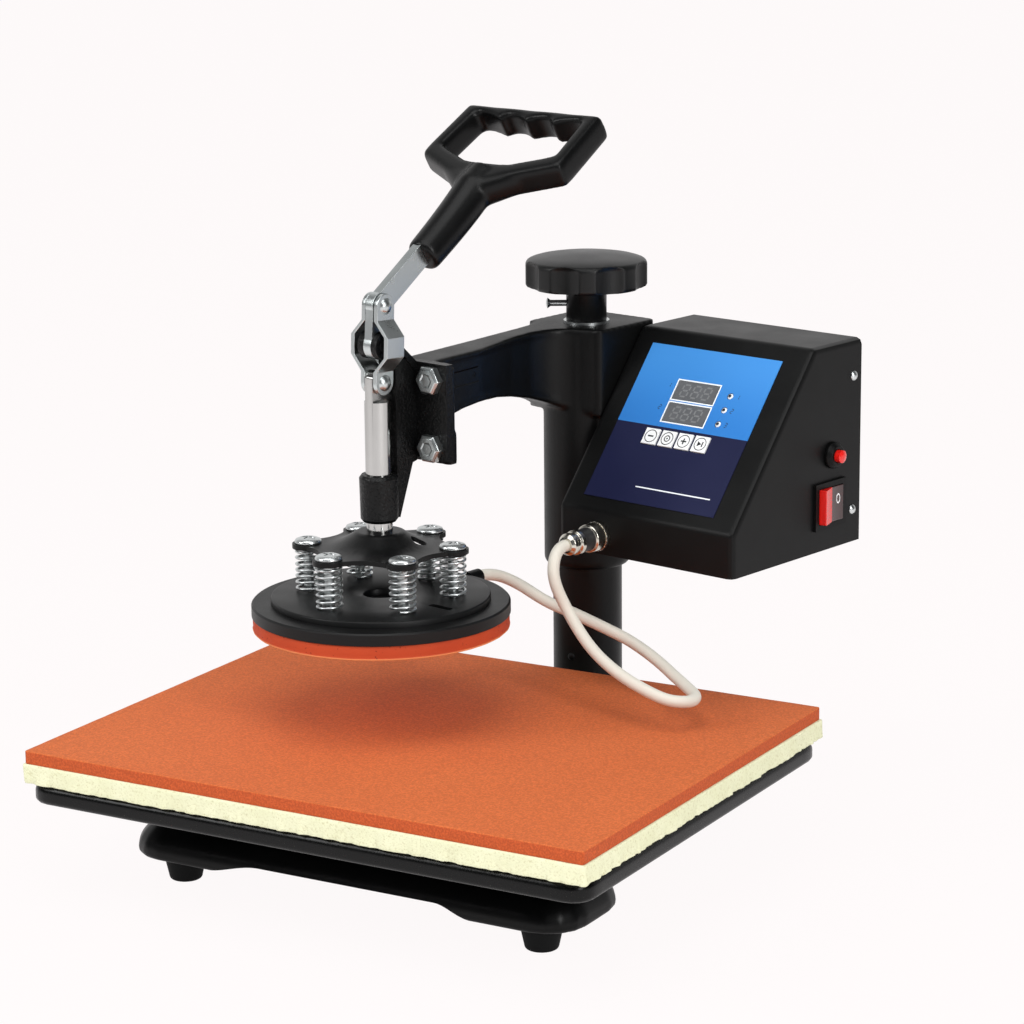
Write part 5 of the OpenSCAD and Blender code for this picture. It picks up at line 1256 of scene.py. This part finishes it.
def film_finish():
    """Blue over navy, white window frames, and a plain white rule near the foot."""
    f = Finish("panel_film", Specular_IOR_Level=0.22)
    place = f.local(PANEL_AT, PANEL_ROLL)
    up = place.axis("Y")
    upper = up.step(OVERLAY_S + 53.9, OVERLAY_S + 54.2)
    fade = up.step(OVERLAY_S + 54, OVERLAY_S + OVERLAY_H)
    cloud = f.place.noise(25, 2)
    blue = fade.blend(srgb(46, 120, 196), srgb(64, 138, 210))
    navy = cloud.blend(srgb(24, 27, 58), srgb(29, 33, 66))
    ground = upper.blend(navy, blue)
    frames = [frame_mask(place, WINDOW_X, y, WINDOW_W, WINDOW_H, 1.15) for y in WINDOW_S]
    rule = frame_mask(place, OVERLAY_X + 36, OVERLAY_S + 11, 58, 0.6, 0.1)
    white = frames[0].math("MAXIMUM", frames[1]).math("MAXIMUM", rule)
    f.feed(Base_Color=white.blend(ground, srgb(238, 243, 248)), Roughness=0.36 + 0.1 * (cloud - 0.5))
    return f.bump(f.place.noise(1800, 1), 0.015 * MM).material


def window_finish():
    """Smoked glass: grey with a slow cloud, a clear coat on top."""
    f = Finish("smoked_window", Specular_IOR_Level=0.5, Coat_Weight=0.5, Coat_Roughness=0.06)
    cloud = f.place.noise(120, 2)
    grey = cloud.blend(srgb(86, 88, 91), srgb(102, 104, 107))
    f.feed(Base_Color=grey, Roughness=0.3 + 0.1 * (cloud - 0.5))
    return f.material


def lamp_finish():
    """White lamps with a dark middle: the mask is the distance to the nearest lamp's axis."""
    f = Finish("panel_lamp", Specular_IOR_Level=0.5)
    place = f.local(PANEL_AT, PANEL_ROLL)
    x = place.axis("X") - LED_X
    near = None
    for s in LED_S:
        y = place.axis("Y") - s
        r = (x * x + y * y) ** 0.5
        near = r if near is None else near.math("MINIMUM", r)
    lens = near.step(1.05, 1.25).blend(srgb(20, 26, 34), srgb(240, 244, 247))
    f.feed(Base_Color=lens, Roughness=0.25 + 0.02 * near)
    return f.material


def plastic(name, low, high, rough, coat=0.0):
    """Moulded plastic: a slow cloud between two tones and a faint ripple."""
    f = Finish(name, Specular_IOR_Level=0.5, Coat_Weight=coat, Coat_Roughness=0.08)
    cloud = f.place.noise(70, 3)
    f.feed(Base_Color=cloud.blend(srgb(*low), srgb(*high)), Roughness=rough + 0.1 * (cloud - 0.5))
    return f.bump(f.place.noise(900, 1), 0.01 * MM).material


def rocker_finish():
    """Clear red with painted shade: bright on the front half of the rocker, painted dark on its rear half."""
    f = Finish("rocker_red_painted_shade", Specular_IOR_Level=0.5, Coat_Weight=0.4, Coat_Roughness=0.08)
    back = f.local(on_arm([BOX_SIDE_U, ROCKER_V, ROCKER_Z]), (0, 0, -SWING)).axis("Y")
    cloud = f.place.noise(70, 3)
    bright = cloud.blend(srgb(205, 22, 18), srgb(222, 32, 25))
    # Painted shade: the rocker's rear half is coloured dark maroon where it turns away from the light.
    f.feed(Base_Color=back.step(-0.6, 0.6).blend(bright, srgb(48, 6, 8)), Roughness=0.2 + 0.1 * (cloud - 0.5))
    return f.bump(f.place.noise(900, 1), 0.01 * MM).material


film, window_grey, lamp_white, rocker_red_painted_shade = film_finish(), window_finish(), lamp_finish(), rocker_finish()
red_plastic = plastic("red_plastic", (214, 24, 20), (230, 34, 26), 0.22, coat=0.4)
key_white = plastic("key_white", (232, 234, 235), (245, 246, 246), 0.4)
mark_white = plastic("mark_white", (236, 236, 236), (246, 246, 246), 0.5)
mark_black = plastic("mark_black", (24, 26, 30), (32, 34, 38), 0.5)
digit_grey = plastic("digit_grey", (112, 114, 116), (124, 126, 128), 0.35)
board_green = plastic("board_green", (22, 92, 44), (30, 110, 54), 0.4)
relay_cream = plastic("relay_cream", (214, 208, 190), (226, 221, 205), 0.5)
print("panel finishes made")

# %% Finishes onto pieces
DRESS = {
    sheet_black: ["tray_risers"],
    arm_black: ["post"],
    cast_black: ["toggle_bracket"],
    box_black: ["box_cover", "box_base"],
    spider_black: ["spider_plate"],
    heater_black: ["heater_disc"],
    part_black: ["breaker_body", "switch_housing", "mains_gland", "heater_gland", "lever_pivot_pin",
                 "post_lock_screw"],
    rubber_black: ["rubber_feet"],
    zinc: ["link_left", "link_right", "link_rivets", "lever_bar", "post_bolts",
           "riser_bolts", "foot_screws", "box_bolts", "spider_nut", "plunger_pin", "heating_element"],
    bright_zinc: ["knob_screw", "thrust_washer", "box_screws"],
    turned_steel: ["plunger_shaft", "lift_spindle", "spindle_collar"],
    nickel: ["cable_socket"],
    plug_nickel: ["cable_plug"],
    brass: ["lift_nut"],
    film: ["front_overlay"],
    window_grey: ["display_windows"],
    lamp_white: ["indicator_leds"],
    key_white: ["minus_key", "mode_key", "plus_key", "enter_key"],
    red_plastic: ["reset_button"],
    rocker_red_painted_shade: ["power_rocker"],
    board_green: ["control_board"],
    relay_cream: ["power_relay"],
}


def dress(piece, material):
    """The piece shows one material."""
    piece.data.materials.clear()
    piece.data.materials.append(material)


for material, names in DRESS.items():
    for name in names:
        dress(NODES[name], material)
for piece, material in [(cable, cable_white), (foam, foam_pale), (mat, mat_orange), (pad, pad_orange),
                        (springs, bright_zinc), (grip, grip_black), (casting, arm_black), (pan, tray_black),
                        (shell, sheet_black), (knob, knob_black), (bolts, zinc), (screws, bright_zinc),
                        (cover, heater_black), (digits, digit_grey), (labels, mark_black),
                        (off_mark, mark_white), *[(s, mark_black) for s in signs]]:
    dress(piece, material)
undressed = sorted(set(NODES) - {n for names in DRESS.values() for n in names})
print("nodes without a finish of their own:", undressed)

# %% [markdown]
# ## Light and floor
# The press stands in a bright, soft studio. A tall soft box stands on each side of the camera, and the two
# draw the bright bands on the plunger; a large soft light hangs above. The camera sees the floor and the
# surroundings as near white; shiny pieces see a pale room that is dark on the camera's side, which keeps the
# blacks black.


# %% Studio
def soft_light(name, at, target, size, power):
    """A rectangular area lamp, width by height, that looks at a point."""
    lamp = bpy.data.lights.new(name, "AREA")
    lamp.shape, lamp.size, lamp.size_y, lamp.energy = "RECTANGLE", *size, power
    made = bpy.data.objects.new(name, lamp)
    made.location = at
    made.rotation_euler = (Vector(target) - Vector(at)).to_track_quat("-Z", "Y").to_euler()
    bpy.context.scene.collection.objects.link(made)
    return made


soft_light("overhead", (0.15, -0.6, 1.8), (0, 0, 0.1), (1.4, 1.4), 16)
soft_light("left_box", (-1.15, -1.35, 1.3), (0, 0, 0.15), (0.7, 0.9), 14)
soft_light("right_box", (1.75, -1.0, 1.05), (0, 0, 0.15), (0.5, 1.4), 21)


def seen_rays(wire):
    """Two masks: rays straight from the camera, and rays from a mirror or through glass."""
    names = ("Is Camera Ray", "Is Glossy Ray", "Is Transmission Ray")
    straight, mirrored, refracted = (wire.node("LightPath", out=name) for name in names)
    return straight, (mirrored + refracted).math("MINIMUM", 1.0)


def studio_world():
    """White for the camera, a room that darkens towards the camera for mirrors, an even grey for the rest."""
    world = bpy.data.worlds.new("studio")
    world.use_nodes = True
    bpy.context.scene.world = world
    wire = Wire(world.node_tree)
    camera_ray, mirror_ray = seen_rays(wire)
    away = wire.node("VectorMath", {"operation": "DOT_PRODUCT"}, {
        0: wire.node("TexCoord", out="Generated"), 1: tuple(-view_axes()[2])}, out="Value")
    room = away.step(-0.1, 0.75).blend((0.04, 0.042, 0.045, 1), (0.85, 0.84, 0.84, 1))
    even_grey = mirror_ray.blend((0.5, 0.5, 0.505, 1), room)
    colour = camera_ray.blend(even_grey, srgb(255, 251, 251))
    wire.tree.links.new(colour.socket, world.node_tree.nodes["Background"].inputs["Color"])
    world.node_tree.nodes["Background"].inputs["Strength"].default_value = 1.0


def floor_finish():
    """Pale floor that glows near white to the camera, over a matt base that takes the shadow."""
    f = Finish("floor", Base_Color=srgb(246, 243, 243), Roughness=0.9, Specular_IOR_Level=0.1)
    tree = f.material.node_tree
    camera_ray, mirror_ray = seen_rays(f.place)
    glow = f.place.node("Emission", None, {"Color": srgb(255, 251, 251), "Strength": 1.0})
    share = 0.97 * camera_ray + 0.4 * mirror_ray
    mixed = f.place.node("MixShader", None, {0: share, 1: Wire(tree, f.shader.outputs[0]), 2: glow})
    tree.links.new(mixed.socket, tree.nodes["Material Output"].inputs["Surface"])
    return f.material


studio_world()
FLOOR_HALF, FLOOR_Z = 6.0, -0.0005
corners = np.array([[-1, -1], [1, -1], [-1, 1], [1, 1]]) * FLOOR_HALF
floor = new_object("floor", np.column_stack([corners, np.full(4, FLOOR_Z)]), np.array([[0, 1, 3, 2]]))
if floor.data.polygons[0].normal.z < 0:
    floor.data.flip_normals()
dress(floor, floor_finish())
bpy.context.scene.view_settings.view_transform = "Standard"
print("studio ready")
